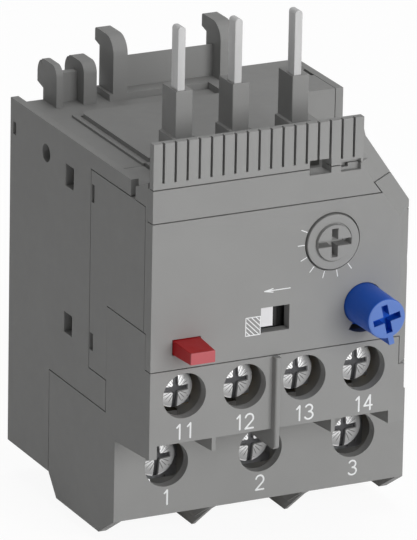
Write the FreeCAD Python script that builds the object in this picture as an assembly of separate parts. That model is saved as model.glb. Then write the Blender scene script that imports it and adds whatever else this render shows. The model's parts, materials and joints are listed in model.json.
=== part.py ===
"""Thermal overload relay for a 45 mm wide contactor.

Lengths are millimetres. x runs across the relay, y runs back from the front
face and z runs up from the plane that the relay stands on. Every piece is
drawn with y = 0 on the front face, and export() moves the pieces so that the
origin lies under the middle of the whole relay.
"""
import FreeCAD, Part
import math
import os

V = FreeCAD.Vector

# Walls and clearances
wall = 1.2
rear_wall = 1.5
chamber_wall = 1.5
divider_thickness = 1.0
seam = 0.15
fit = 0.1
slide_fit = 0.05

# Outside of the body
body_width = 45.0
body_depth = 46.15
half_width = body_width / 2
front_setback = 5.5
front_reach = half_width - front_setback
front_lean = 1.0

# Heights above the plane that the relay stands on
body_floor = 4.75
side_drop = 3.1
aux_lip_rear = 16.8
aux_lip_front = 17.7
aux_face_bottom = 19.6
lower_roof = 20.0
panel_bottom = 24.65
right_flange_bottom = 26.3
cover_bottom = 30.35
panel_step = 35.5
shelf_top = 46.7
band_bottom = 51.7
mechanism_top = 53.6
deck_bottom = 53.8
trough_floor = 55.0
deck_top = 56.0
comb_bottom = 56.5
comb_top = 63.05

# Depths behind the front face
cover_thickness = 1.6
comb_thickness = 1.15
flange_depth = 2.3
ear_depth = 5.45
ear_width = 2.2
ear_top = 55.5
facet_depth = 5.0
facet_inset = 0.9
rail_drop = 2.0
side_strip_front = 7.0
lower_face = 10.87
step_depth = 14.0
deck_front = 14.3
panel_depth = 19.55
lower_setback = 13.75
lower_rear = body_depth - lower_setback
recess_lap = 0.53
recess_rear = lower_rear - recess_lap

# Feet of the lower body
chamfer_depth = 4.8
side_rest_inset = 2.75
side_rest_rear = lower_rear - side_rest_inset
divider_nose_depth = 6.0
divider_rest_inset = 4.4
divider_rest_rear = lower_rear - divider_rest_inset

# Facets on the right of the front
crease_low_inset = 1.0
crease_high_inset = 1.8
corner_start_inset = 7.8
corner_high_inset = 5.64
crease_low_x = front_reach - crease_low_inset
crease_high_x = front_reach - crease_high_inset
crease_low = 20.0
crease_high = 48.0
corner_start_x = front_reach - corner_start_inset
corner_start = 55.9
corner_low = 49.1
corner_high_x = front_reach - corner_high_inset
corner_high = 59.0
corner_depth = 2.83
corner_seam = 53.3

# Openings in the side walls, as y0, y1, z0, z1
clip_setback = 21.0
clip_width = 2.65
clip_front = body_depth - clip_setback
left_clip = (clip_front, clip_front + clip_width, 48.7, 51.9)
right_clip = (clip_front, clip_front + clip_width, 41.7, 44.9)
lower_clip = (clip_front, clip_front + clip_width, 27.25, 30.25)
rear_slot_setback = 1.9
rear_slot_width = 1.0
rear_slot_front = body_depth - rear_slot_setback
rear_slot = (rear_slot_front, rear_slot_front + rear_slot_width, 50.9, 52.7)
upper_slot = (18.4, 19.3, 48.95, 51.55)
lower_slot = (18.3, 19.4, 27.45, 29.95)
side_hole_setback = 11.95
side_hole_y = body_depth - side_hole_setback
side_hole_z = 51.4
side_hole_r = 1.3

# Lid: plateau, trough and side recess
plateau_inset = 6.2
plateau_setback = 9.8
pad_inset = 11.0
recess_inset = 4.4
plateau_x = plateau_inset - half_width
plateau_rear = body_depth - plateau_setback
pad_x = front_reach - pad_inset
recess_x = front_reach - recess_inset
trough_step = 0.35
trough_step_width = 0.9
trough_corner_r = 1.2
edge_notch_setback = 7.65
edge_notch_length = 3.1
edge_notch_depth = 0.45
deck_slot_inset = 10.9
deck_slot_pad = 2.6
deck_slot_x = (plateau_x + deck_slot_inset, pad_x - deck_slot_pad)
deck_slot_width = 1.9
deck_slot_setback = 1.85
deck_slot_depth = 0.6

# Comb
comb_slots = 17
comb_edge = 1.52
comb_corner_gap = 1.43
comb_first_x = comb_edge - half_width
comb_last_x = corner_start_x - comb_corner_gap
comb_pitch = (comb_last_x - comb_first_x) / (comb_slots - 1)
comb_slot_width = 0.35
comb_slot_floor = 0.8
comb_window_inset = 8.1
comb_window_x = corner_start_x - comb_window_inset
comb_window_width = 3.3
comb_window_drop = 0.9
comb_window_rise = 1.2
comb_overhang = 0.06
comb_lip_height = 0.45
comb_lip_thickness = 0.4
comb_lap = 0.7
pocket_gap = 1.5
pocket_width = 3.0
pocket_depth = 0.8
pocket_drop = 0.9
pocket_rise = 0.6
pocket_hole = (0.4, 1.4, 0.5)

# Poles and main terminals
pole_share = 29 / 90
pole_pitch = pole_share * body_width
main_screw_z = 12.2
main_hole_r = 3.32
main_head_r = 3.0
main_head_setback = 3.0
main_head_height = 2.0
main_shank_r = 1.9
main_shank_length = 8.1
main_clamp_size = 8.0
main_clamp_thickness = 1.2
main_wire_gap = 2.0
busbar_thickness = 1.5
busbar_width = 9.0
busbar_drop = 1.1
main_entry_depth = 11.8

# Auxiliary terminals
aux_side_room = 2.9
aux_shift = 0.79
aux_pitch = (half_width + front_reach - aux_side_room) / 4
aux_middle_x = (front_reach - half_width) / 2 - aux_shift
aux_screw_z = 26.4
aux_hole_r = 3.25
aux_head_r = 2.8
aux_head_setback = 2.8
aux_head_height = 1.6
aux_shank_r = 1.45
aux_shank_length = 6.0
aux_clamp_size = 5.8
aux_clamp_thickness = 1.0
aux_wire_gap = 1.5
aux_plate_thickness = 1.2
aux_plate_tail = 4.0
aux_rib = 0.6
aux_roof = 0.6
aux_riser_width = 3.0
aux_riser_shift = 1.2
clamp_lip = 0.4
recess_width = 0.9
recess_depth = 1.0
recess_share = 0.8
centre_rib = 0.8
centre_rib_proud = 1.2

# Contact pins and the columns around them
pin_x = (-13.6, -5.0, 4.1)
pin_tips = (76.1, 76.2, 76.3)
pin_width = 1.15
pin_depth = 2.0
pin_front = 10.15
pin_tip_r = 0.5
pin_run_top = 50.0
column_left = 0.9
column_right = 1.65
column_front = 9.85
column_top = 66.6
column_foot_top = 60.0
column_foot_side = 0.45

# Hooks on the rear edge
blade_setback = 4.45
blade_front = body_depth - blade_setback
blade_nose = 1.95
blade_nose_bottom = 57.2
blade_top = 61.0
blade_inset = 5.0
blade_spacing = 4.2
blade_x = (blade_inset - half_width, blade_inset + blade_spacing - half_width)
blade_thickness = (1.0, 2.0)
blade_front_r = 1.6
blade_rear_r = 2.3
blade_web = 1.2
blade_web_drop = 2.2
hook_x = (-8.85, 7.85)
hook_thickness = 2.2
hook_setback = 4.65
hook_front = body_depth - hook_setback
hook_nose = 1.5
hook_nose_bottom = 62.3
hook_top = 64.2
hook_front_r = 2.6
hook_rear_r = 0.4
hook_web_top = 60.7
hook_web_setback = 2.15
hook_web_front = body_depth - hook_web_setback

# Heaters, bimetal strips and trip slider
strip_setback = 10.15
strip_y = body_depth - strip_setback
strip_width = 5.0
strip_thickness = 0.8
strip_root_r = 0.6
strip_holder = 4.4
strip_top = 44.4
coil_inner_r = 3.65
coil_wire_r = 0.45
coil_bottom = 22.0
coil_top = 41.0
coil_turns = 5
slider_bottom = 44.75
slider_height = 2.0
slider_depth = 4.8
slider_inset = 3.5
slider_half_length = half_width - slider_inset
slider_travel = 1.2
slider_arm_width = 2.0
lug_gap = 0.35
lug_thickness = 1.0
lug_height = 1.2
lug_depth = 2.0
return_spring_y = 27.0
return_spring_r = 0.75
return_spring_wire_r = 0.15
return_spring_turns = 6

# Trip lever and contact carrier
lever_inset = 16.0
lever_x = front_reach - lever_inset
lever_z = 40.8
lever_hub_r = 2.0
lever_pin_r = 0.8
lever_front = 13.0
lever_thickness = 2.0
lever_reach = 5.6
lever_tip = 1.4
lever_play = 0.15
carrier_travel = 1.3
carrier_front = 13.0
carrier_depth = 1.6
carrier_height = 3.3
guide_gap = 0.5
guide_spacing = 10.0
guide_x = (lever_x - guide_gap - guide_spacing, lever_x - guide_gap)
guide_width = 1.0
guide_depth = 0.6
guide_height = 6.0
contact_z = 33.0
contact_front = 9.6
contact_depth = 2.2
contact_r = 0.9
contact_tab = 0.8
bridge_thickness = 0.6

# Setting dial
dial_inset = 12.16
dial_x = front_reach - dial_inset
dial_z = 45.66
dial_rim_r = 4.1
dial_rim_proud = 0.5
dial_seat = 0.8
dial_face_r = 2.65
dial_face_proud = 0.9
dial_face_cone = 0.35
dial_shaft_r = 2.0
dial_cam_front = 4.5
dial_cam_thickness = 2.0
dial_cam_base_r = 2.6
dial_cam_rise = 1.2
dial_tail_front = 8.0
dial_tail_rear = 9.6
dial_tail_r = 1.0
dial_bracket_half = 2.5
cross_arm = 2.1
cross_width = 0.95

# Reset knob
knob_inset = 7.1
knob_x = front_reach - knob_inset
knob_z = 35.95
knob_r = 2.95
knob_tip_r = 2.85
knob_proud = 7.0
knob_bore_front = 3.0
knob_rear = 4.9
knob_flange = 0.6
knob_travel = 2.5
knob_tilt = 13.0
knob_swing = 30.0
nub_reach = 3.85
nub_width = 0.8
nub_rear = 3.0
plunger_r = 1.2
collar_r = 2.4
collar_thickness = 1.0
reset_seat_front = 12.0
reset_seat_r = 2.3
reset_spring_r = 1.8
reset_spring_wire_r = 0.25
spring_turns = 4

# Stop button
stop_inset = 5.4
stop_x = stop_inset - half_width
stop_z = 33.6
stop_width = 4.1
stop_height = 2.1
stop_proud = 5.2
stop_taper = 0.2
stop_flange = 0.8
stop_flange_thickness = 1.0
stop_stem_r = 0.8
stop_travel = 1.8
stop_seat_front = 6.2
stop_seat_thickness = 0.8
stop_spring_r = 1.3
stop_spring_wire_r = 0.15

# Test slide
window_x = -5.87
window_width = 4.35
window_z = 33.85
window_height = 3.6
tab_width = 1.9
tab_height = 2.75
tab_setback = 0.3
test_travel = 2.2
test_plate_front = 2.6
test_plate_thickness = 1.0
test_plate_margin = 0.8
test_plate_left = 2.0
test_plate_right = 1.5
test_tail_rear = 9.0
test_tail_rise = 1.0
test_tail_height = 1.6
test_bar_r = 0.65
test_bar_x = 3.2
rail_thickness = 0.7

# Worked out from the values above
inner = half_width - wall
rear_face = body_depth
nose_reach = max(blade_nose, hook_nose)
front_shift = (knob_proud - nose_reach - body_depth) / 2
pole_x = (-pole_pitch, 0.0, pole_pitch)
aux_x = [aux_middle_x + (n - 1.5) * aux_pitch for n in range(4)]
mechanism_back = panel_depth - wall - seam
busbar_top = lower_roof - wall - busbar_drop
strip_foot = busbar_top + strip_root_r + 0.2
coil_leg_y = strip_y + coil_inner_r + coil_wire_r
bar_end = coil_leg_y + coil_wire_r + 0.3
pin_turn_y = recess_rear + wall + 0.5
pin_run_bottom = pin_run_top - pin_depth
arm_right = lever_x - lever_tip / 2 - slide_fit
carrier_top = contact_z + contact_depth - slide_fit
main_clamp_front = lower_face + main_head_setback + main_head_height + slide_fit
main_clamp_back = main_clamp_front + main_clamp_thickness + main_wire_gap
aux_clamp_front = aux_head_setback + aux_head_height + slide_fit
aux_clamp_back = aux_clamp_front + aux_clamp_thickness + aux_wire_gap
stop_stem_end = contact_front - stop_travel - wall / 2
beyond_part = 2 * body_width


def block(x0, x1, y0, y1, z0, z1):
    """Box between two x, two y and two z values."""
    return Part.makeBox(x1 - x0, y1 - y0, z1 - z0, V(x0, y0, z0))


def side_profile(points, x0, x1):
    """Prism with a (y, z) outline, from x0 to x1."""
    wire = Part.makePolygon([V(x0, y, z) for y, z in points + [points[0]]])
    return Part.Face(wire).extrude(V(x1 - x0, 0, 0))


def front_profile(points, y0, y1):
    """Prism with an (x, z) outline, from y0 to y1."""
    wire = Part.makePolygon([V(x, y0, z) for x, z in points + [points[0]]])
    return Part.Face(wire).extrude(V(0, y1 - y0, 0))


def plan_profile(points, z0, z1):
    """Prism with an (x, y) outline, from z0 to z1."""
    wire = Part.makePolygon([V(x, y, z0) for x, y in points + [points[0]]])
    return Part.Face(wire).extrude(V(0, 0, z1 - z0))


def rod_x(y, z, radius, x0, x1):
    """Cylinder along x."""
    return Part.makeCylinder(radius, x1 - x0, V(x0, y, z), V(1, 0, 0))


def rod_y(x, z, radius, y0, y1):
    """Cylinder along y."""
    return Part.makeCylinder(radius, y1 - y0, V(x, y0, z), V(0, 1, 0))


def rod_z(x, y, radius, z0, z1):
    """Cylinder along z."""
    return Part.makeCylinder(radius, z1 - z0, V(x, y, z0), V(0, 0, 1))


def cone_y(x, z, front_r, rear_r, y0, y1):
    """Cone along y."""
    return Part.makeCone(front_r, rear_r, y1 - y0, V(x, y0, z), V(0, 1, 0))


def beyond(point, normal):
    """Everything on the outer side of a plane, as a big box."""
    box = Part.makeBox(2 * beyond_part, 2 * beyond_part, beyond_part, V(-beyond_part, -beyond_part, 0))
    box.Placement = FreeCAD.Placement(point, FreeCAD.Rotation(V(0, 0, 1), normal))
    return box


def joined(shapes):
    """One solid from touching shapes."""
    return shapes[0].multiFuse(shapes[1:]).removeSplitter()


def without(shape, tools):
    """Shape with the tools cut away."""
    return shape.cut(tools)


def soften(shape, radius, chosen):
    """Fillet of the edges for which chosen(edge) is true."""
    return shape.makeFillet(radius, [edge for edge in shape.Edges if chosen(edge)])


def along(edge, axis):
    """True for a straight edge that runs along one axis."""
    start = edge.Vertexes[0].Point
    end = edge.Vertexes[-1].Point
    spans = [abs(end.x - start.x), abs(end.y - start.y), abs(end.z - start.z)]
    length = spans.pop("xyz".index(axis))
    return length > 0 and max(spans) < 1e-6


def middle(edge):
    """Middle of the box around an edge."""
    return edge.BoundBox.Center


def coil(radius, wire_r, length, turns):
    """Round wire wound about z, starting on the x axis at z = 0."""
    helix = Part.makeHelix(length / turns, length, radius)
    section = Part.Wire(Part.makeCircle(wire_r, V(radius, 0, 0), V(0, 1, 0)))
    return Part.Wire(helix).makePipeShell([section], True, True)


def front_right(z):
    """x of the right side of the front part, which leans out towards the top."""
    return front_reach + front_lean * (z - lower_roof) / (corner_low - lower_roof)


cheek_inner = front_right(corner_low) - wall - front_lean


def front_part(y0, y1):
    """Outside of the relay's front part between two depths."""
    outline = [
        (-half_width, body_floor),
        (front_right(body_floor), body_floor),
        (front_right(corner_low), corner_low),
        (corner_high_x, corner_high),
        (corner_high_x, comb_top),
        (-half_width, comb_top),
    ]
    shape = front_profile(outline, y0, y1)
    lean = (crease_low_x - crease_high_x) / (crease_high - crease_low)
    side_facet = beyond(V(crease_high_x, 0, crease_high), V(1, -1, lean))
    crease = V(corner_start_x - crease_high_x, 0, corner_start - crease_high)
    across = V(front_right(corner_low) - crease_high_x, corner_depth, corner_low - crease_high)
    corner_facet = beyond(V(crease_high_x, 0, crease_high), across.cross(crease))
    return without(shape, [side_facet, corner_facet])


def cover_corner(room):
    """Front cover's solid behind the corner facet, up to the short seam, with room round it."""
    run = crease_high_x - corner_start_x
    drop = corner_start - crease_high
    shape = block(corner_start_x, beyond_part, 0, facet_depth + room, crease_high - room, corner_seam + room)
    shape = shape.common(beyond(V(crease_high_x - room, 0, crease_high), V(drop, 0, run)))
    return shape.common(front_part(0, facet_depth + room))


def side_openings(side):
    """Clip windows and the round hole through one side wall."""
    x0, x1 = sorted((side * (inner - fit), side * (half_width + fit)))
    upper_clip = left_clip if side < 0 else right_clip
    windows = [block(x0, x1, *opening) for opening in (rear_slot, upper_clip, lower_clip)]
    return windows + [rod_x(side_hole_y, side_hole_z, side_hole_r, x0, x1)]


def partition(side):
    """Wall between two poles, notched for the trip slider."""
    x = side * pole_pitch / 2
    y0 = panel_depth + 2 * wall
    y1 = lower_rear + 2 * fit
    y2 = rear_face - rear_wall
    z0 = body_floor + rear_wall
    z1 = lower_roof + 2 * fit
    z2 = slider_bottom + slider_height
    outline = [(y2, z0), (y2, z2), (y0, z2), (y0, z1), (y1, z1), (y1, z0)]
    half = divider_thickness / 2
    notch = block(
        x - divider_thickness,
        x + divider_thickness,
        strip_y - slider_depth / 2 - slide_fit,
        strip_y + slider_depth / 2 + slide_fit,
        slider_bottom - slide_fit,
        z2 + 1,
    )
    return without(side_profile(outline, x - half, x + half), [notch])


def rear_housing():
    """Rear shell: two side walls, rear wall, floor and the walls between the poles."""
    gap = seam / 2
    outline = [
        (rear_face, body_floor),
        (rear_face, deck_top),
        (side_strip_front, deck_top),
        (side_strip_front, mechanism_top + gap),
        (panel_depth + gap, mechanism_top + gap),
        (panel_depth + gap, panel_bottom - gap),
        (step_depth + gap, panel_bottom - gap),
        (step_depth + gap, lower_roof + gap),
        (lower_rear + gap, lower_roof + gap),
        (lower_rear + gap, body_floor),
    ]
    shell = side_profile(outline, -half_width, half_width)
    cavity = block(-inner, inner, -1, rear_face - rear_wall, body_floor + rear_wall, beyond_part)
    deck_seat = block(-inner, inner, 0, rear_face + 1, deck_bottom, beyond_part)
    right_front = block(front_reach, beyond_part, -1, step_depth + gap, 0, beyond_part)
    recess = block(inner - fit, beyond_part, -1, recess_rear, shelf_top, beyond_part)
    shell = without(shell, [cavity, deck_seat, right_front, recess])
    panel = block(inner, half_width, step_depth + gap, panel_depth + wall, lower_roof + gap, shelf_top)
    screen = block(
        front_right(corner_low) + seam,
        half_width,
        step_depth + gap,
        step_depth + gap + wall,
        lower_roof + gap,
        shelf_top - wall - fit,
    )
    shell = joined([shell, panel, screen, partition(-1), partition(1)])
    return without(shell, side_openings(-1) + side_openings(1))


def hook(x0, thickness, front, nose, nose_bottom, top, front_r, rear_r):
    """Hook that stands on the lid's rear edge, its nose turned to the rear."""
    base = trough_floor - trough_step
    outline = [
        (front, base),
        (front, top),
        (rear_face + nose, top),
        (rear_face + nose, nose_bottom),
        (rear_face, nose_bottom - nose / 4),
        (rear_face, base),
    ]
    shape = side_profile(outline, x0, x0 + thickness)
    shape = soften(shape, front_r, lambda edge: along(edge, "x") and edge.BoundBox.ZMin > top - 1e-3
                   and middle(edge).y < front + 1e-3)
    return soften(shape, rear_r, lambda edge: along(edge, "x") and edge.BoundBox.ZMin > top - 1e-3
                  and middle(edge).y > rear_face)


def deck_trough():
    """Space above the lower parts of the lid: a gutter around the plateau."""
    edge_x = -half_width
    hook_side = hook_x[0] - divider_thickness / 2
    outline = [
        (edge_x, deck_front - 1),
        (plateau_x, deck_front - 1),
        (plateau_x, plateau_rear),
        (pad_x, plateau_rear),
        (pad_x, hook_front),
        (hook_side, hook_front),
        (hook_side, rear_face + 1),
        (edge_x, rear_face + 1),
    ]
    shape = plan_profile(outline, trough_floor, deck_top + 1)
    return soften(shape, trough_corner_r, lambda edge: along(edge, "z")
                  and abs(middle(edge).x - plateau_x) < 1e-3 and middle(edge).y > deck_front)


def top_deck():
    """Stepped lid with plateau, gutter, side recess and the hooks."""
    edge_x = inner - fit
    plate = plan_profile(
        [
            (-edge_x, deck_front),
            (recess_x, deck_front),
            (recess_x, recess_rear),
            (edge_x, recess_rear),
            (edge_x, rear_face),
            (-edge_x, rear_face),
        ],
        deck_bottom,
        deck_top,
    )
    step = plan_profile(
        [
            (plateau_x - trough_step_width, deck_front),
            (plateau_x, deck_front),
            (plateau_x, plateau_rear),
            (pad_x, plateau_rear),
            (pad_x, plateau_rear + trough_step_width),
            (plateau_x - trough_step_width, plateau_rear + trough_step_width),
        ],
        trough_floor - trough_step,
        trough_floor + trough_step,
    )
    shelf_bottom = shelf_top - wall
    base = trough_floor - trough_step
    pieces = [
        without(plate, [deck_trough()]),
        step,
        block(recess_x - wall, recess_x, deck_front, recess_rear, shelf_bottom, deck_top),
        block(recess_x - wall, edge_x, recess_rear, recess_rear + wall, shelf_bottom, deck_top),
        block(recess_x - wall, edge_x, deck_front, recess_rear + wall, shelf_bottom, shelf_top),
    ]
    for x0, thickness in zip(blade_x, blade_thickness):
        pieces.append(hook(x0, thickness, blade_front, blade_nose, blade_nose_bottom, blade_top,
                           blade_front_r, blade_rear_r))
    web_front = (blade_front + rear_face) / 2
    pieces.append(block(blade_x[0] + blade_thickness[0] / 2, blade_x[1] + blade_thickness[1] / 2,
                        web_front, web_front + blade_web, base, blade_top - blade_web_drop))
    for x0 in hook_x:
        pieces.append(hook(x0, hook_thickness, hook_front, hook_nose, hook_nose_bottom, hook_top,
                           hook_front_r, hook_rear_r))
    pieces.append(block(hook_x[0] + hook_thickness / 2, hook_x[1] + hook_thickness / 2,
                        hook_web_front, rear_face, base, hook_web_top))
    shape = joined(pieces)
    cuts = []
    for side in (-1, 1):
        y0 = rear_face - edge_notch_setback
        x0, x1 = sorted((side * (edge_x - edge_notch_depth), side * (edge_x + 1)))
        cuts.append(block(x0, x1, y0, y0 + edge_notch_length, deck_bottom - 1, deck_top + 1))
    slot_front = plateau_rear + deck_slot_setback
    for x0 in deck_slot_x:
        cuts.append(block(x0, x0 + deck_slot_width, slot_front, slot_front + deck_slot_depth,
                          base, deck_top + 1))
    return without(shape, cuts)


def lever_boss():
    """Boss on the rear wall that carries the lever pin."""
    return rod_y(lever_x, lever_z, lever_hub_r, lever_front + lever_thickness + slide_fit, mechanism_back)


def dial_bracket():
    """Bracket under the roof that carries the rear end of the dial shaft."""
    half = dial_bracket_half
    plate = block(dial_x - half, dial_x + half, dial_tail_front + fit, dial_tail_rear,
                  dial_z - half / 2, mechanism_top - wall)
    rounded = soften(plate, half / 2, lambda edge: along(edge, "y")
                     and middle(edge).z < dial_z)
    return without(rounded, [rod_y(dial_x, dial_z, dial_tail_r + slide_fit, 0, body_depth)])


def reset_seat():
    """Tube on the rear wall that guides the reset plunger and carries its spring."""
    tube = rod_y(knob_x, knob_z, reset_seat_r, reset_seat_front, mechanism_back)
    bore = rod_y(knob_x, knob_z, plunger_r + slide_fit, 0, reset_seat_front + knob_travel + 1)
    return without(tube, [bore])


def carrier_guides():
    """Upright fins on the rear wall that run in the contact carrier's grooves."""
    front = carrier_front + carrier_depth - guide_depth + slide_fit
    low = carrier_top - carrier_height - carrier_travel - 1
    return [
        block(x - guide_width / 2, x + guide_width / 2, front, mechanism_back, low, low + guide_height)
        for x in guide_x
    ]


def mechanism_housing():
    """Middle shell around the trip mechanism, open to the front and below."""
    gap = seam / 2
    outline = [
        (flange_depth + gap, panel_step + gap),
        (step_depth - gap, panel_step + gap),
        (step_depth - gap, panel_bottom + gap),
        (panel_depth - gap, panel_bottom + gap),
        (panel_depth - gap, mechanism_top - gap),
        (flange_depth + gap, mechanism_top - gap),
    ]
    shell = side_profile(outline, -half_width, front_right(corner_low)).common(front_part(0, body_depth))
    cavity = block(-inner, cheek_inner, 0, mechanism_back, 0, mechanism_top - wall)
    cavity = cavity.common(front_part(0, mechanism_back).translated(V(-wall, 0, -wall)))
    low_right = block(cheek_inner, beyond_part, step_depth - gap - fit, beyond_part, 0, panel_step)
    deck_side = block(recess_x - wall - fit, beyond_part, deck_front - fit, beyond_part,
                      shelf_top - wall - fit, beyond_part)
    rail_seat = block(-inner, corner_start_x - fit, 0, cover_thickness + wall + fit,
                      band_bottom - rail_drop - 1, beyond_part)
    shell = without(shell, [cavity, low_right, deck_side, rail_seat])
    cheek = front_part(cover_thickness, deck_front - 2 * fit)
    cheek = cheek.common(block(corner_start_x - fit, beyond_part, 0, body_depth,
                               mechanism_top - wall, corner_high + 1))
    cheek = without(cheek, [block(-beyond_part, beyond_part, ear_depth, body_depth, deck_top, comb_top)])
    shape = joined([shell, cheek, lever_boss(), dial_bracket(), reset_seat()] + carrier_guides())
    cuts = [rod_y(lever_x, lever_z, lever_pin_r + slide_fit, 0, mechanism_back), cover_corner(seam)]
    half = pin_width / 2 + fit
    for x in pin_x:
        cuts.append(block(x - half, x + half, pin_front - fit, pin_front + pin_depth + fit,
                          mechanism_top - 2 * wall, mechanism_top + 1))
        cuts.append(block(x - half, x + half, step_depth, panel_depth + 1,
                          pin_run_bottom - fit, pin_run_top + fit))
    cuts.append(block(arm_right - slider_arm_width - fit, arm_right + slider_travel + fit,
                      step_depth, panel_depth + 1,
                      slider_bottom - 2 * fit, slider_bottom + slider_height + 2 * fit))
    x0 = -half_width - fit
    cuts.append(block(x0, x0 + wall + 3 * fit, *upper_slot))
    cuts.append(block(x0, x0 + wall + 3 * fit, *lower_slot))
    return without(shape, cuts)


def lower_body(x0, x1):
    """Side view of the lower block with its auxiliary part in front, between two x values."""
    gap = seam / 2
    outline = [
        (0, aux_lip_front),
        (lower_face, aux_lip_rear),
        (lower_face, body_floor),
        (lower_face + chamfer_depth, body_floor - side_drop),
        (side_rest_rear, body_floor - side_drop),
        (lower_rear - gap, body_floor),
        (lower_rear - gap, lower_roof - gap),
        (step_depth - gap, lower_roof - gap),
        (step_depth - gap, panel_step - gap),
        (cover_thickness + gap, panel_step - gap),
        (cover_thickness + gap, cover_bottom - gap),
        (0, cover_bottom - gap),
    ]
    return side_profile(outline, x0, x1)


def main_chambers():
    """Space behind the main screw holes, open below, with the busbar slots."""
    cuts = []
    roof = lower_roof - wall
    back = lower_rear - wall
    front = lower_face + chamber_wall
    half = divider_thickness / 2
    edges = [-inner - half, -pole_pitch / 2, pole_pitch / 2, inner + half]
    for n in range(3):
        x0 = edges[n] + half
        x1 = edges[n + 1] - half
        slot = busbar_width / 2 + fit
        cuts.append(block(x0, x1, front, back, body_floor + wall, roof))
        cuts.append(block(x0, x1, front, front + main_entry_depth, -1, roof))
        cuts.append(block(x0, x1, 0, lower_rear + 1, -1, body_floor))
        cuts.append(rod_y(pole_x[n], main_screw_z, main_hole_r, 0, front + 1))
        cuts.append(block(pole_x[n] - slot, pole_x[n] + slot, back - 1, lower_rear + 1,
                          busbar_top - busbar_thickness - fit, busbar_top + fit))
    return cuts


def aux_chambers():
    """Space behind the auxiliary screw holes, open below, and the room above it."""
    cuts = []
    half = aux_rib / 2
    edges = [-inner - half] + [x + aux_pitch / 2 for x in aux_x[:3]] + [aux_x[3] + aux_pitch / 2 - half]
    roof = cover_bottom - aux_roof
    back = step_depth - wall
    for n in range(4):
        x0 = edges[n] + half
        x1 = edges[n + 1] - half
        cuts.append(block(x0, x1, chamber_wall, lower_face, 0, roof))
        cuts.append(block(x0, x1, -1, chamber_wall + 1, 0, aux_face_bottom))
        cuts.append(block(x0, x1, chamber_wall, back, lower_roof, roof))
        cuts.append(rod_y(aux_x[n], aux_screw_z, aux_hole_r, -1, chamber_wall + 1))
    cuts.append(block(-inner, cheek_inner - wall, aux_clamp_back - fit, back,
                      aux_screw_z, cover_bottom + 1))
    cuts.append(block(-inner, cheek_inner, cover_thickness + seam / 2, step_depth + 1,
                      cover_bottom, panel_step + 1))
    return cuts


def divider(side):
    """Thin wall below the body between two cable entries; the relay stands on it."""
    x = side * pole_pitch / 2
    outline = [
        (lower_face, body_floor),
        (lower_face + divider_nose_depth, 0),
        (divider_rest_rear, 0),
        (lower_rear - 2 * seam, body_floor),
    ]
    return side_profile(outline, x - divider_thickness / 4, x + divider_thickness / 4)


def centre_rib_piece():
    """Rib between the two pairs of auxiliary terminals."""
    outline = [
        (-centre_rib_proud, aux_lip_rear + 0.6),
        (-centre_rib_proud + 0.6, aux_lip_rear),
        (lower_face, aux_lip_rear),
        (lower_face, cover_bottom - aux_roof),
        (0, cover_bottom - aux_roof),
        (0, cover_bottom - seam / 2),
        (-centre_rib_proud, cover_bottom - seam / 2),
    ]
    rib = side_profile(outline, aux_middle_x - centre_rib / 2, aux_middle_x + centre_rib / 2)
    return soften(rib, centre_rib * 0.4, lambda edge: along(edge, "z") and middle(edge).y < 0)


def stop_seat():
    """Plate from the left wall that guides the stop button's stem and carries its spring."""
    plate = block(-inner, stop_x + stop_spring_r + 0.6,
                  stop_seat_front, stop_seat_front + stop_seat_thickness,
                  cover_bottom - seam / 2, panel_step - seam / 2)
    return without(plate, [rod_y(stop_x, stop_z, stop_stem_r + slide_fit, 0, body_depth)])


def terminal_housing():
    """Lower shell with main terminal chambers and the auxiliary block in front."""
    right = front_right(lower_roof) - divider_thickness / 2
    rear_shell = without(lower_body(-half_width, half_width), [
        block(right, beyond_part, -1, step_depth - seam / 2, aux_lip_rear + wall, beyond_part),
        block(right, beyond_part, -1, lower_face, 0, beyond_part),
    ])
    front = lower_body(-half_width, half_width).common(front_part(0, step_depth - seam / 2))
    front = front.common(block(-beyond_part, beyond_part, -1, body_depth, aux_lip_rear, beyond_part))
    flange_seat = block(crease_high_x - facet_inset - fit, beyond_part, -1, facet_depth + seam,
                        right_flange_bottom - seam / 2, beyond_part)
    shell = without(joined([rear_shell, front]), main_chambers() + aux_chambers() + [flange_seat])
    return joined([shell, divider(-1), divider(1), centre_rib_piece(), stop_seat()])


def nub_sector():
    """Sector below the knob in which its nub turns."""
    margin = math.degrees(nub_width / knob_r)
    spread = knob_swing + 2 * margin
    sector = Part.makeCylinder(nub_reach + 3 * fit, ear_depth + 1, V(0, 0, 0), V(0, 0, 1), spread)
    sector.rotate(V(0, 0, 0), V(0, 0, 1), knob_tilt + margin - 90 - spread)
    sector.rotate(V(0, 0, 0), V(1, 0, 0), 90)
    sector.translate(V(knob_x, ear_depth, knob_z))
    return sector


def slide_rails():
    """Two rails on the back of the cover that hold the test slide."""
    rails = []
    x0 = window_x - test_plate_left - fit
    x1 = window_x + window_width + test_plate_right + test_travel
    lip_front = test_plate_front + test_plate_thickness + slide_fit
    low = window_z - test_plate_margin - slide_fit
    high = window_z + window_height + test_plate_margin + slide_fit
    for edge, outward in ((low, -1), (high, 1)):
        z0, z1 = sorted((edge, edge + outward * rail_thickness))
        rails.append(block(x0, x1, cover_thickness, lip_front + rail_thickness, z0, z1))
        z0, z1 = sorted((edge - outward * rail_thickness, edge + outward * rail_thickness))
        rails.append(block(x0, x1, lip_front, lip_front + rail_thickness, z0, z1))
    return rails


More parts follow.
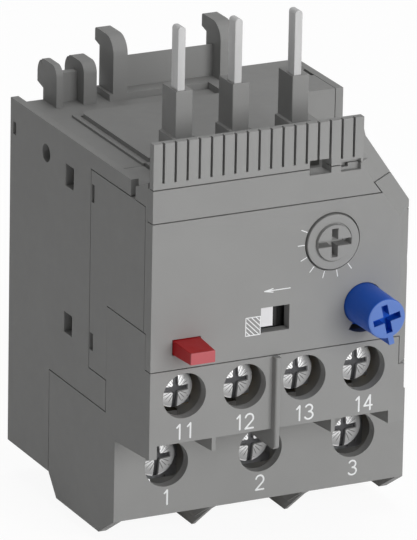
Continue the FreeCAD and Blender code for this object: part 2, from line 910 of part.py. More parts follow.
def front_cover():
    """Front plate with dial, window, knob and button openings."""
    gap = seam / 2
    top = band_bottom - gap
    bottom = cover_bottom + gap
    flange_x = crease_high_x - facet_inset
    lap_top = comb_bottom + comb_lap
    plate = block(-half_width, beyond_part, 0, cover_thickness, bottom, top)
    left_flange = block(-half_width, -inner, 0, flange_depth - gap, panel_step + gap, top)
    skirt = block(cheek_inner, beyond_part, 0, flange_depth - gap, panel_step + gap, top)
    facet = block(flange_x, beyond_part, 0, facet_depth, right_flange_bottom + gap, top)
    facet = without(facet, [
        block(-beyond_part, crease_high_x + facet_inset / 2, -1, cover_thickness, 0, bottom),
        block(0, cheek_inner, cover_thickness, facet_depth + 1, 0, beyond_part),
        block(cheek_inner - 1, beyond_part, flange_depth - gap, facet_depth + 1,
              panel_step - gap, beyond_part),
    ])
    shape = joined([plate, left_flange, skirt, facet]).common(front_part(0, facet_depth))
    shape = joined([shape, cover_corner(0)])
    ear = side_profile(
        [
            (cover_thickness, top - rail_drop),
            (flange_depth - gap, top - rail_drop),
            (flange_depth - gap, mechanism_top + gap),
            (ear_depth, mechanism_top + gap),
            (ear_depth, ear_top),
            (cover_thickness, lap_top),
        ],
        -half_width,
        -half_width + ear_width,
    )
    rail = block(-inner, corner_start_x - 2 * fit, cover_thickness, cover_thickness + wall,
                 top - rail_drop, lap_top)
    comb_seat = block(-inner, corner_start_x - 2 * fit, comb_thickness, cover_thickness,
                      comb_bottom + gap, lap_top)
    shape = joined([shape, ear, rail, comb_seat] + slide_rails())
    x0 = stop_x - stop_width / 2 - fit
    x1 = stop_x + stop_width / 2 + fit
    through = facet_depth + 1
    return without(shape, [
        rod_y(dial_x, dial_z, dial_rim_r + fit, -1, dial_seat),
        rod_y(dial_x, dial_z, dial_shaft_r + slide_fit, -1, through),
        block(window_x, window_x + window_width, -1, test_plate_front - fit,
              window_z, window_z + window_height),
        block(x0, x1, -1, through, stop_z - stop_height / 2 - fit, stop_z + stop_height / 2 + fit),
        rod_y(knob_x, knob_z, knob_r + fit, -1, through),
        nub_sector(),
        block(comb_window_x, comb_window_x + comb_window_width, 0, through,
              comb_bottom - comb_window_drop, lap_top + 1),
    ])


def label_strip():
    """Bare band across the front, under the comb."""
    bottom = band_bottom + seam / 2
    top = comb_bottom - seam / 2
    plate = block(-half_width, beyond_part, 0, cover_thickness, bottom, top)
    plate = plate.common(front_part(0, facet_depth))
    pocket_x = comb_window_x + comb_window_width + pocket_gap
    hole_left, hole_right, hole_drop = pocket_hole
    return without(plate, [
        cover_corner(seam),
        block(comb_window_x, comb_window_x + comb_window_width, -1, facet_depth,
              comb_bottom - comb_window_drop, top + 1),
        block(pocket_x, pocket_x + pocket_width, -1, pocket_depth, top - pocket_drop, top + 1),
        block(pocket_x + hole_left, pocket_x + hole_right, -1, facet_depth, top - hole_drop, top + 1),
    ])


def vent_comb():
    """Upright comb with a row of narrow slots."""
    right = corner_start_x + comb_overhang
    bottom = comb_bottom + seam / 2
    plate = block(-half_width, right, 0, comb_thickness, bottom, comb_top)
    half = comb_slot_width / 2
    cuts = []
    for n in range(comb_slots):
        x = comb_first_x + n * comb_pitch
        cuts.append(block(x - half, x + half, -1, comb_thickness + 1,
                          bottom + comb_slot_floor, comb_top + 1))
    window_right = comb_window_x + comb_window_width
    pocket_x = window_right + pocket_gap
    cuts.append(block(comb_window_x, window_right, -1, comb_thickness + 1,
                      bottom - 1, comb_bottom + comb_window_rise))
    cuts.append(block(pocket_x, pocket_x + pocket_width, -1, pocket_depth,
                      bottom - 1, comb_bottom + pocket_rise))
    lip = block(-half_width, right, comb_thickness - comb_lip_thickness, comb_thickness,
                comb_top - comb_lip_height, comb_top)
    return joined([without(plate, cuts), lip])


def pin_carrier():
    """Three upright columns on a bar, each with a slot for its pin."""
    rear = deck_front - slide_fit
    bottom = mechanism_top - seam / 2
    bar = block(pin_x[0] - 2 * column_right, pin_x[2] + 2 * column_right, column_front - 0.5, rear,
                bottom, deck_top - 0.5)
    pieces = [bar]
    cuts = []
    half = pin_width / 2 + slide_fit
    for x in pin_x:
        left = x - column_left
        right = x + column_right
        pieces.append(block(left - column_foot_side, right + column_foot_side, column_front, rear,
                            bottom, column_foot_top))
        pieces.append(block(left, right, column_front, rear, bottom, column_top))
        cuts.append(block(x - half, x + half, pin_front - slide_fit, pin_front + pin_depth + slide_fit,
                          mechanism_top - 1, column_top + 1))
    return without(joined(pieces), cuts)


def contact_pin(n):
    """Blade that rises through its column and runs back to its pole's heater."""
    x = pin_x[n]
    target = pole_x[n]
    half = pin_width / 2
    blade = block(x - half, x + half, pin_front, pin_front + pin_depth, pin_run_bottom, pin_tips[n])
    blade = soften(blade, pin_tip_r, lambda edge: along(edge, "y") and middle(edge).z > pin_tips[n] - 1e-3)
    turn_end = pin_turn_y + pin_width
    run = block(x - half, x + half, pin_front, turn_end, pin_run_bottom, pin_run_top)
    across = block(min(x, target) - half, max(x, target) + half, pin_turn_y, turn_end,
                   pin_run_bottom, pin_run_top)
    tab = block(target - half, target + half, pin_turn_y, bar_end, pin_run_bottom, pin_run_top)
    return joined([blade, run, across, tab])


def heater_coil(n):
    """Heater winding around a bimetal strip, with a leg at each end."""
    winding = coil(coil_inner_r + coil_wire_r, coil_wire_r, coil_top - coil_bottom, coil_turns)
    winding.rotate(V(0, 0, 0), V(0, 0, 1), 90)
    winding.translate(V(pole_x[n], strip_y, coil_bottom))
    x = pole_x[n]
    lower = rod_z(x, coil_leg_y, coil_wire_r, busbar_top - busbar_thickness / 2, coil_bottom)
    upper = rod_z(x, coil_leg_y, coil_wire_r, coil_top, pin_run_bottom)
    bends = [Part.makeSphere(coil_wire_r, V(x, coil_leg_y, z)) for z in (coil_bottom, coil_top)]
    return joined([winding, lower, upper] + bends)


def bimetal_strip(n):
    """Upright bimetal strip with a round foot."""
    x = pole_x[n]
    half = strip_thickness / 2
    y0 = strip_y - strip_width / 2
    y1 = strip_y + strip_width / 2
    strip = block(x - half, x + half, y0, y1, strip_foot, strip_top)
    return joined([strip, rod_y(x, strip_foot, strip_root_r, y0, y1)])


def main_busbar(n):
    """Angled bar from the terminal screw back to the foot of the bimetal strip."""
    x = pole_x[n]
    half = busbar_width / 2
    y0 = main_clamp_back
    bottom = busbar_top - busbar_thickness
    upright = block(x - half, x + half, y0, y0 + busbar_thickness, main_screw_z - main_clamp_size / 2 - 1,
                    busbar_top)
    run = block(x - half, x + half, y0, bar_end, bottom, busbar_top)
    run = soften(joined([upright, run]), busbar_thickness * 0.8,
                 lambda edge: along(edge, "x") and middle(edge).z > busbar_top - 1e-3
                 and middle(edge).y < y0 + 1e-3)
    stop = strip_y + strip_width / 2 + slide_fit
    holder = block(x - strip_holder / 2, x + strip_holder / 2, strip_y - strip_width / 2, bar_end,
                   bottom, strip_foot)
    cheek = strip_root_r + slide_fit
    groove = rod_y(x, strip_foot, cheek, 0, stop)
    hole = rod_y(x, main_screw_z, main_shank_r + slide_fit, 0, body_depth)
    coil_seat = rod_z(x, coil_leg_y, coil_wire_r + slide_fit, busbar_top - busbar_thickness / 2, strip_top)
    return without(joined([run, holder]), [groove, hole, coil_seat])


def clamp(x, z, y0, size, thickness, hole_r):
    """Square clamp plate with turned-down edges, carried under a screw head."""
    half = size / 2
    corner = thickness / 2
    y1 = y0 + thickness
    plate = block(x - half, x + half, y0, y1, z - half, z + half)
    plate = soften(plate, corner, lambda edge: along(edge, "y"))
    low = block(x - half + corner, x + half - corner, y1, y1 + clamp_lip, z - half, z - half + corner)
    high = block(x - half + corner, x + half - corner, y1, y1 + clamp_lip, z + half - corner, z + half)
    return without(joined([plate, low, high]), [rod_y(x, z, hole_r, 0, body_depth)])


def screw(x, z, front, head_r, head_height, shank_r, shank_length):
    """Pan head screw with a cross recess over a full slot."""
    head = rod_y(x, z, head_r, front, front + head_height)
    head = soften(head, head_height * 0.55, lambda edge: middle(edge).y < front + 1e-3)
    shank = rod_y(x, z, shank_r, front + head_height, front + head_height + shank_length)
    half = recess_width / 2
    reach = recess_share * head_r
    slot = block(x - half, x + half, front - 1, front + recess_depth, z - head_r, z + head_r)
    cross = block(x - reach, x + reach, front - 1, front + recess_depth, z - half, z + half)
    return without(joined([head, shank]), [slot, cross])


def main_screw(n):
    """Screw of a main terminal."""
    return screw(pole_x[n], main_screw_z, lower_face + main_head_setback, main_head_r,
                 main_head_height, main_shank_r, main_shank_length)


def main_clamp(n):
    """Clamp plate of a main terminal."""
    return clamp(pole_x[n], main_screw_z, main_clamp_front, main_clamp_size, main_clamp_thickness,
                 main_shank_r + slide_fit)


def aux_screw(n):
    """Screw of an auxiliary terminal."""
    return screw(aux_x[n], aux_screw_z, aux_head_setback, aux_head_r, aux_head_height,
                 aux_shank_r, aux_shank_length)


def aux_clamp(n):
    """Clamp plate of an auxiliary terminal."""
    return clamp(aux_x[n], aux_screw_z, aux_clamp_front, aux_clamp_size, aux_clamp_thickness,
                 aux_shank_r + slide_fit)


def contact_x(n):
    """x of the fixed contact of a terminal plate, towards the middle of its pair."""
    return aux_x[n] + aux_riser_shift * (1 if n % 2 == 0 else -1)


def terminal_plate(n, top):
    """Lower part of a terminal plate, in its chamber behind the clamp."""
    half = aux_pitch / 2 - aux_rib / 2 - 3 * fit
    x = aux_x[n]
    return block(x - half, x + half, aux_clamp_back, aux_clamp_back + aux_plate_thickness,
                 aux_screw_z - aux_plate_tail, top)


def closed_plate(n):
    """Terminal plate whose fixed contact lies above the moving bridge."""
    y0 = aux_clamp_back
    x0 = contact_x(n) - aux_riser_width / 2
    x1 = x0 + aux_riser_width
    shelf_z = aux_screw_z + aux_head_r - contact_tab
    riser_rear = step_depth - wall - slide_fit
    tab_z = contact_z + contact_r
    shape = joined([
        terminal_plate(n, shelf_z + contact_tab),
        block(x0, x1, y0, riser_rear, shelf_z, shelf_z + contact_tab),
        block(x0, x1, riser_rear - contact_tab, riser_rear, shelf_z, tab_z + contact_tab),
        block(x0, x1, contact_front, riser_rear, tab_z, tab_z + contact_tab),
        rod_z(contact_x(n), contact_front + contact_depth / 2, contact_r, contact_z, tab_z),
    ])
    return without(shape, [rod_y(aux_x[n], aux_screw_z, aux_shank_r + slide_fit, 0, body_depth)])


def open_plate(n):
    """Terminal plate whose fixed contact lies below the moving bridge."""
    y0 = aux_clamp_back
    x0 = contact_x(n) - aux_riser_width / 2
    x1 = x0 + aux_riser_width
    top = contact_z - carrier_travel - slide_fit
    tab_top = top - contact_r / 2
    shape = joined([
        terminal_plate(n, aux_screw_z + aux_head_r),
        block(x0, x1, y0, y0 + aux_plate_thickness, aux_screw_z, tab_top),
        block(x0, x1, y0, contact_front + contact_depth, tab_top - contact_tab, tab_top),
        rod_z(contact_x(n), contact_front + contact_depth / 2, contact_r, tab_top, top),
    ])
    return without(shape, [rod_y(aux_x[n], aux_screw_z, aux_shank_r + slide_fit, 0, body_depth)])


def closed_bridge():
    """Moving bridge under the fixed contacts of the closed pair."""
    top = contact_z - slide_fit
    return block(contact_x(0) - aux_riser_width / 2, contact_x(1) + aux_riser_width / 2,
                 contact_front, contact_front + contact_depth, top - bridge_thickness, top)


def open_bridge():
    """Moving bridge above the fixed contacts of the open pair."""
    return block(contact_x(2) - aux_riser_width / 2, contact_x(3) + aux_riser_width / 2,
                 contact_front, contact_front + contact_depth, contact_z, contact_z + bridge_thickness)


def contact_carrier():
    """Beam that carries both bridges and slides down when the relay trips."""
    closed_x = (aux_x[0] + aux_x[1]) / 2
    open_x = (aux_x[2] + aux_x[3]) / 2
    half = aux_riser_width / 2
    rear = carrier_front + carrier_depth
    arm_half = half - 4 * fit
    under = contact_z - slide_fit - bridge_thickness
    over = contact_z + bridge_thickness
    arm = contact_tab - 2 * fit
    shape = joined([
        block(closed_x - half, open_x + half, carrier_front, rear,
              carrier_top - carrier_height, carrier_top),
        block(closed_x - arm_half, closed_x + arm_half, contact_front, carrier_front, under - arm, under),
        block(open_x - arm_half, open_x + arm_half, contact_front, carrier_front, over, over + arm),
    ])
    groove = guide_width / 2 + slide_fit
    return without(shape, [
        block(x - groove, x + groove, rear - guide_depth, rear + 1, 0, body_depth) for x in guide_x
    ])


def trip_slider():
    """Cross bar over the bimetal tips with an arm to the trip lever."""
    y0 = strip_y - slider_depth / 2
    y1 = strip_y + slider_depth / 2
    z1 = slider_bottom + slider_height
    pieces = [
        block(-slider_half_length, slider_half_length, y0, y1, slider_bottom, z1),
        block(arm_right - slider_arm_width, arm_right, lever_front, y0, slider_bottom, z1),
    ]
    for x in pole_x:
        for side in (-1, 1):
            near = x + side * (strip_thickness / 2 + lug_gap)
            x0, x1 = sorted((near, near + side * lug_thickness))
            pieces.append(block(x0, x1, strip_y - lug_depth / 2, strip_y + lug_depth / 2,
                                strip_top - lug_height, slider_bottom))
    return joined(pieces)


def trip_lever():
    """Bell crank on the lever pin, from the slider arm to the contact carrier."""
    y0 = lever_front
    y1 = lever_front + lever_thickness
    half = lever_tip / 2
    tip_x = lever_x + lever_reach
    arm_top = slider_bottom + slider_height - 3 * fit
    shape = joined([
        rod_y(lever_x, lever_z, lever_hub_r, y0, y1),
        block(lever_x - half, lever_x + half, y0, y1, lever_z, arm_top),
        front_profile(
            [
                (lever_x, lever_z + half),
                (tip_x, lever_z - half),
                (tip_x, lever_z - lever_hub_r),
                (lever_x, lever_z - lever_hub_r),
            ],
            y0,
            y1,
        ),
        block(tip_x - lever_tip, tip_x, y0, y1, carrier_top + lever_play, lever_z - half),
    ])
    return without(shape, [rod_y(lever_x, lever_z, lever_pin_r + slide_fit, 0, body_depth)])


def lever_pin():
    """Headed pin that the trip lever turns on."""
    head = rod_y(lever_x, lever_z, lever_pin_r * 1.6, lever_front - lever_pin_r, lever_front - slide_fit)
    return joined([head, rod_y(lever_x, lever_z, lever_pin_r, lever_front - slide_fit, mechanism_back)])


def dial_cam():
    """Spiral cam on the dial shaft: its radius grows evenly with the angle."""
    count = 16
    start = math.radians(-150)
    sweep = math.radians(300)
    points = []
    for n in range(count + 1):
        angle = start + sweep * n / count
        radius = dial_cam_base_r + dial_cam_rise * n / count
        points.append(V(radius * math.cos(angle), 0, radius * math.sin(angle)))
    curve = Part.BSplineCurve()
    curve.interpolate(points)
    face = Part.Face(Part.Wire([curve.toShape(), Part.makeLine(points[-1], points[0])]))
    cam = face.extrude(V(0, dial_cam_thickness, 0))
    cam.translate(V(dial_x, dial_cam_front, dial_z))
    return cam


def cross_recess(x, z, front, depth, half_length):
    """Two crossed arms that a screwdriver fits."""
    half = cross_width / 2
    return [
        block(x - half_length, x + half_length, front - 1, front + depth, z - half, z + half),
        block(x - half, x + half, front - 1, front + depth, z - cross_arm, z + cross_arm),
    ]


def setting_dial():
    """Setting dial with its shaft and the cam behind the cover."""
    shape = joined([
        rod_y(dial_x, dial_z, dial_rim_r, -dial_rim_proud, dial_seat - slide_fit),
        cone_y(dial_x, dial_z, dial_face_r, dial_face_r + dial_face_cone,
               -dial_face_proud, -dial_rim_proud),
        rod_y(dial_x, dial_z, dial_shaft_r, 0, dial_tail_front),
        rod_y(dial_x, dial_z, dial_tail_r, dial_tail_front, dial_tail_rear),
        dial_cam(),
    ])
    recess = cross_recess(dial_x, dial_z, -dial_face_proud, dial_face_proud, dial_face_r + fit)
    return without(shape, recess)


def reset_plunger():
    """Rod behind the reset knob, with a collar for its spring."""
    rod = rod_y(knob_x, knob_z, plunger_r, -knob_proud + knob_bore_front, reset_seat_front + 0.5)
    collar = rod_y(knob_x, knob_z, collar_r, knob_rear + fit, knob_rear + fit + collar_thickness)
    return joined([rod, collar])


def reset_knob():
    """Round knob with a nub along its lower side, a flange and a cross in its face."""
    flange_front = cover_thickness + slide_fit
    body = joined([
        cone_y(knob_x, knob_z, knob_tip_r, knob_r, -knob_proud, 0),
        rod_y(knob_x, knob_z, knob_r, 0, knob_rear),
    ])
    body = soften(body, knob_flange / 2, lambda edge: middle(edge).y < -knob_proud + 1e-3)
    flange = rod_y(knob_x, knob_z, knob_r + knob_flange, flange_front, flange_front + knob_flange)
    nub = block(knob_x - nub_width / 2, knob_x + nub_width / 2, -knob_proud, nub_rear,
                knob_z - nub_reach, knob_z - knob_tip_r + knob_flange)
    bore_front = -knob_proud + knob_bore_front - slide_fit
    bore = rod_y(knob_x, knob_z, plunger_r + slide_fit, bore_front, knob_rear + 1)
    recess = cross_recess(knob_x, knob_z, -knob_proud, cover_thickness, cross_arm)
    shape = without(joined([body, flange, nub]), recess + [bore])
    shape.rotate(V(knob_x, 0, knob_z), V(0, 1, 0), -knob_tilt)
    return shape


def spring_y(x, z, radius, wire_r, y0, y1):
    """Compression spring along y, between two seats."""
    shape = coil(radius, wire_r, y1 - y0 - 2 * wire_r, spring_turns)
    shape.rotate(V(0, 0, 0), V(1, 0, 0), -90)
    shape.translate(V(x, y0 + wire_r, z))
    return shape


def reset_spring():
    """Return spring between the plunger's collar and its guide tube."""
    return spring_y(knob_x, knob_z, reset_spring_r, reset_spring_wire_r,
                    knob_rear + fit + collar_thickness, reset_seat_front)


def stop_spring():
    """Return spring between the stop button's flange and its seat."""
    return spring_y(stop_x, stop_z, stop_spring_r, stop_spring_wire_r,
                    cover_thickness + slide_fit + stop_flange_thickness, stop_seat_front)


def return_spring():
    """Spring that pushes the cross bar back when the strips have cooled."""
    end = pole_pitch / 2 - divider_thickness / 2
    length = end - arm_right - 2 * return_spring_wire_r
    shape = coil(return_spring_r, return_spring_wire_r, length, return_spring_turns)
    shape.rotate(V(0, 0, 0), V(0, 1, 0), 90)
    shape.translate(V(arm_right + return_spring_wire_r, return_spring_y, slider_bottom + slider_height / 2))
    return shape


def stop_button():
    """Tapered button with a stem and a stop flange behind the cover."""
    half_w = stop_width / 2
    half_h = stop_height / 2
    front_w = half_w - stop_taper
    front_h = half_h - stop_taper
    loops = []
    for w, h, y in ((front_w, front_h, -stop_proud), (half_w, half_h, 0)):
        corners = [(-w, -h), (w, -h), (w, h), (-w, h), (-w, -h)]
        loops.append(Part.makePolygon([V(stop_x + dx, y, stop_z + dz) for dx, dz in corners]))
    flange_front = cover_thickness + slide_fit
    flange_rear = flange_front + stop_flange_thickness
    return joined([
        Part.makeLoft(loops, True, True),
        block(stop_x - half_w, stop_x + half_w, 0, flange_rear, stop_z - half_h, stop_z + half_h),
        block(stop_x - half_w - stop_flange, stop_x + half_w + stop_flange, flange_front, flange_rear,
              stop_z - half_h - stop_flange, stop_z + half_h + stop_flange),
        rod_y(stop_x, stop_z, stop_stem_r, flange_rear, stop_stem_end),
    ])


def test_slide():
    """Test slide with a tab in the window, a rounded bar beside it and a tail behind."""
    x0 = window_x + slide_fit
    top = window_z + window_height - fit
    plate_x = x0 - test_plate_left
    plate_rear = test_plate_front + test_plate_thickness
    tab = block(x0, x0 + tab_width, tab_setback, plate_rear, top - tab_height, top)
    plate = block(plate_x, window_x + window_width + test_plate_right, test_plate_front, plate_rear,
                  window_z - test_plate_margin, window_z + window_height + test_plate_margin)
    tail = block(plate_x, plate_x + test_plate_thickness, plate_rear, test_tail_rear,
                 window_z + test_tail_rise, window_z + test_tail_rise + test_tail_height)
    bar = rod_z(window_x + test_bar_x, test_plate_front, test_bar_r, window_z, window_z + window_height)
    return joined([tab, plate, tail, bar])


def export(name, shape):
    """Move a finished piece to the relay's own origin and write it."""
    shape.translate(V(0, front_shift, 0))
    shape.exportStep("parts/" + name + ".step")


def main():
    os.makedirs("parts", exist_ok=True)
    singles = [
        rear_housing, top_deck, mechanism_housing, terminal_housing, front_cover, label_strip, vent_comb,
        pin_carrier, closed_bridge, open_bridge, contact_carrier, trip_slider, trip_lever, lever_pin,
        setting_dial, reset_plunger, reset_knob, reset_spring, stop_button, stop_spring, return_spring,
        test_slide,
    ]
    for piece in singles:
        export(piece.__name__, piece())
    poles = [contact_pin, heater_coil, bimetal_strip, main_busbar, main_clamp, main_screw]
    for piece in poles:
        for n in range(3):
            export(piece.__name__ + "_" + str(n + 1), piece(n))
    for n in range(4):
        number = "_" + str(n + 1)
        export("aux_plate" + number, closed_plate(n) if n < 2 else open_plate(n))
        export("aux_clamp" + number, aux_clamp(n))
        export("aux_screw" + number, aux_screw(n))


main()
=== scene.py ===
"""Looks of a thermal overload relay: shells, dial, springs, screws, prints, finishes and light.

Lengths are metres, and mm() turns millimetres into them. x runs across the
relay, y runs back from the front and z runs up from the floor.
"""
import json
import math

import bmesh
import bpy
import numpy as np
from mathutils import Matrix, Vector


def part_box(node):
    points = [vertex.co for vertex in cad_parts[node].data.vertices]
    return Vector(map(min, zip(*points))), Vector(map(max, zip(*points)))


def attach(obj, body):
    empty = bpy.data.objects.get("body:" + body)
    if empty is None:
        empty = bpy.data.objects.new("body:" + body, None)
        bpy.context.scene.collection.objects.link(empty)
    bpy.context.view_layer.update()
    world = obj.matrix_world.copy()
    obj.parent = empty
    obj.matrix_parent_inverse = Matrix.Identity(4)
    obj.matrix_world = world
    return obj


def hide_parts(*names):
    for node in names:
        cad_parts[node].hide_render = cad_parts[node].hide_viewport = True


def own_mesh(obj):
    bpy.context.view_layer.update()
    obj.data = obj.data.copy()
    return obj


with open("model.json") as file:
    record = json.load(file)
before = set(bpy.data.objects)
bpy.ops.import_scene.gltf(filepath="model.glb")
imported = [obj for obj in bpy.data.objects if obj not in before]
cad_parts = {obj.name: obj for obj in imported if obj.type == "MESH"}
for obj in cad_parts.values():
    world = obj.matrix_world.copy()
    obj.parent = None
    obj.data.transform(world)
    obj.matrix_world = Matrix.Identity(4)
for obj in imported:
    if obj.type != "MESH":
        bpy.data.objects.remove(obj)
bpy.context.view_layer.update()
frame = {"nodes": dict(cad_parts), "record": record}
nodes = frame["nodes"]


def mm(length):
    """Millimetres as metres."""
    return length / 1000


def in_mm(length):
    """Metres as millimetres."""
    return length * 1000


def srgb(red, green, blue):
    """Colour of 0 to 255 values as the linear values that a shader takes."""
    values = [channel / 255 for channel in (red, green, blue)]
    linear = [v / 12.92 if v <= 0.04045 else ((v + 0.055) / 1.055) ** 2.4 for v in values]
    return (*linear, 1.0)


# Colours of the real finishes, and painted ones: paler fronts of the knob and button as painted
# sheen, and a grey for painted shade in the screws' recesses
housing_grey = srgb(149, 149, 148)
comb_grey = srgb(152, 152, 151)
dial_grey = srgb(152, 152, 151)
inner_black = srgb(38, 38, 38)
knob_blue = srgb(14, 84, 190)
# The knob's and button's front colours are painted sheen, paler than their plastic
knob_painted_sheen_blue = srgb(97, 128, 197)
button_red = srgb(178, 12, 20)
button_painted_sheen_red = srgb(188, 95, 100)
tab_white = srgb(225, 224, 226)
print_white = srgb(236, 237, 238)
tin_silver = srgb(194, 194, 194)
nickel_silver = srgb(238, 238, 238)
# Grey painted into the screws' recesses and marks as painted shade
recess_painted_shade_grey = srgb(78, 78, 80)
zinc_silver = srgb(196, 198, 202)
brass_yellow = srgb(204, 170, 104)
steel_grey = srgb(176, 176, 178)
wire_grey = srgb(150, 142, 130)
floor_white = srgb(250, 250, 250)

# Values between which most of a noise lies, and how many finer layers the grain's noise has
noise_low = 0.3
noise_high = 0.7
grain_detail = 2.0

# Stretch of a metal's lines: none, along the pins, along the pressed strips, along the bimetal
even = (1.0, 1.0, 1.0)
along_pin = (1.0, 1.0, 0.15)
across_press = (0.2, 1.0, 1.0)
along_strip = (1.0, 1.0, 0.1)

# Rounded edges: widths in millimetres, and faces round each edge
shell_edge = 0.16
thin_edge = 0.1
edge_segments = 2

# Sizes of details, in millimetres
grain_size = 0.22
print_height = 0.03
tab_reach = 2.2
tab_side = 4.2
front_skin = 0.12
pin_trim = 0.5
pin_tip = 2.0

# How near points have to lie to be merged or to count as one plane, in millimetres
merge_reach = 0.001
fine_merge_reach = 0.0005
plane_reach = 0.02

# Angles in degrees: flat enough to be one face, and sharp enough to stay crisp
flat_angle = 0.5
shell_angle = 28
turned_angle = 30
screw_angle = 35
spring_angle = 40
print_angle = 60

# Corner of the lower shell beside the cover's flange: sides from the middle,
# depth from the front and height from the floor, in millimetres
seat_side = 14.2
flange_side = 15.55
seat_depth = 5.2
seat_floor = 26.2

# Webs between the lid's hooks, in millimetres from the middle and the floor
tall_web_top = 60.7
tall_web_rear = 24.5
tall_web_fall = 0.8
short_web_top = 58.8
short_web_rise = 0.5

# Front of the cover and corners of the dial's box, from the frame
front_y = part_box("front_cover")[0].y
dial_low, dial_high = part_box("setting_dial")


def new_material(name, colour, roughness, metallic=0.0, specular=0.5):
    """Material with its uniform values on the shader, and its node tree's parts."""
    material = bpy.data.materials.new(name)
    material.use_nodes = True
    tree = material.node_tree
    shader = tree.nodes["Principled BSDF"]
    shader.inputs["Base Color"].default_value = colour
    shader.inputs["Roughness"].default_value = roughness
    shader.inputs["Metallic"].default_value = metallic
    shader.inputs["Specular IOR Level"].default_value = specular
    material.diffuse_color = colour
    return material, tree, shader


def coordinates(tree, stretch=even):
    """Object coordinates, stretched along the axes for a drawn or rolled finish."""
    source = tree.nodes.new("ShaderNodeTexCoord")
    mapping = tree.nodes.new("ShaderNodeMapping")
    mapping.inputs["Scale"].default_value = stretch
    tree.links.new(source.outputs["Object"], mapping.inputs["Vector"])
    return mapping.outputs["Vector"]


def noise(tree, vector, size, detail=3.0):
    """Noise whose features are about size millimetres across."""
    texture = tree.nodes.new("ShaderNodeTexNoise")
    texture.inputs["Scale"].default_value = 1 / mm(size)
    texture.inputs["Detail"].default_value = detail
    tree.links.new(vector, texture.inputs["Vector"])
    return texture.outputs["Fac"]


def mottle(tree, shader, vector, colour, size, amount):
    """Base colour that drifts a little lighter and darker over the surface."""
    ramp = tree.nodes.new("ShaderNodeValToRGB")
    dark, light = ramp.color_ramp.elements
    dark.position = noise_low
    light.position = noise_high
    dark.color = [c * (1 - amount) for c in colour[:3]] + [1.0]
    light.color = [min(1.0, c * (1 + amount)) for c in colour[:3]] + [1.0]
    tree.links.new(noise(tree, vector, size), ramp.inputs["Fac"])
    tree.links.new(ramp.outputs["Color"], shader.inputs["Base Color"])


def vary_roughness(tree, shader, vector, size, low, high):
    """Roughness that wanders between two values."""
    spread = tree.nodes.new("ShaderNodeMapRange")
    spread.inputs["From Min"].default_value = noise_low
    spread.inputs["From Max"].default_value = noise_high
    spread.inputs["To Min"].default_value = low
    spread.inputs["To Max"].default_value = high
    tree.links.new(noise(tree, vector, size), spread.inputs["Value"])
    tree.links.new(spread.outputs["Result"], shader.inputs["Roughness"])


def add_grain(tree, shader, vector, size, depth):
    """Fine relief of a moulded or drawn surface."""
    bump = tree.nodes.new("ShaderNodeBump")
    bump.inputs["Strength"].default_value = 1.0
    bump.inputs["Distance"].default_value = mm(depth)
    tree.links.new(noise(tree, vector, size, grain_detail), bump.inputs["Height"])
    tree.links.new(bump.outputs["Normal"], shader.inputs["Normal"])


def moulded_plastic(name, colour, roughness, grain, specular=0.15):
    """Spark-eroded plastic: fine even grain, slightly uneven gloss and shade."""
    material, tree, shader = new_material(name, colour, roughness, specular=specular)
    vector = coordinates(tree)
    mottle(tree, shader, vector, colour, size=9.0, amount=0.025)
    vary_roughness(tree, shader, vector, size=1.6, low=roughness - 0.05, high=roughness + 0.05)
    add_grain(tree, shader, vector, size=grain_size, depth=grain)
    return material


def worked_metal(name, colour, roughness, stretch, size=0.12, depth=0.004, metallic=1.0):
    """Metal with fine lines along the direction in which it was drawn, rolled or turned."""
    material, tree, shader = new_material(name, colour, roughness, metallic=metallic)
    vector = coordinates(tree, stretch)
    mottle(tree, shader, vector, colour, size=1.5, amount=0.06)
    vary_roughness(tree, shader, vector, size=0.6, low=roughness - 0.06, high=roughness + 0.08)
    add_grain(tree, shader, vector, size=size, depth=depth)
    return material


def place_parts(tree):
    """X, Y and Z of the object coordinates."""
    source = tree.nodes.new("ShaderNodeTexCoord")
    split = tree.nodes.new("ShaderNodeSeparateXYZ")
    tree.links.new(source.outputs["Object"], split.inputs["Vector"])
    return split.outputs


def combine(tree, operation, first, second):
    """Math node over two inputs, each a socket or a number."""
    node = tree.nodes.new("ShaderNodeMath")
    node.operation = operation
    for n, value in enumerate((first, second)):
        if isinstance(value, float):
            node.inputs[n].default_value = value
        else:
            tree.links.new(value, node.inputs[n])
    return node.outputs["Value"]


def two_colours(tree, shader, share, plain, other):
    """Base colour that is plain where share is 0 and other where it is 1."""
    mix = tree.nodes.new("ShaderNodeMix")
    mix.data_type = "RGBA"
    mix.inputs["A"].default_value = plain
    mix.inputs["B"].default_value = other
    tree.links.new(share, mix.inputs["Factor"])
    tree.links.new(mix.outputs["Result"], shader.inputs["Base Color"])


def test_slide_finish(name):
    """White tab on a black slide: white where x and y lie within the tab's own outline."""
    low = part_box("test_slide")[0]
    material, tree, shader = new_material(name, tab_white, roughness=0.45, specular=0.3)
    place = place_parts(tree)
    front = combine(tree, "LESS_THAN", place["Y"], low.y + mm(tab_reach))
    left = combine(tree, "LESS_THAN", place["X"], low.x + mm(tab_side))
    two_colours(tree, shader, combine(tree, "MULTIPLY", front, left), inner_black, tab_white)
    vector = coordinates(tree)
    vary_roughness(tree, shader, vector, size=1.6, low=0.4, high=0.5)
    add_grain(tree, shader, vector, size=grain_size, depth=0.003)
    return material


def worn_front(name, node, colour, sheen_colour):
    """Coloured plastic whose front face is painted paler: a painted sheen where it faces the light.
    """
    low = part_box(node)[0]
    material, tree, shader = new_material(name, colour, roughness=0.38, specular=0.25)
    # Painted sheen: the face within front_skin of the front takes the paler colour
    end = combine(tree, "LESS_THAN", place_parts(tree)["Y"], low.y + mm(front_skin))
    two_colours(tree, shader, end, colour, sheen_colour)
    vector = coordinates(tree)
    vary_roughness(tree, shader, vector, size=1.6, low=0.32, high=0.42)
    add_grain(tree, shader, vector, size=grain_size, depth=0.003)
    return material


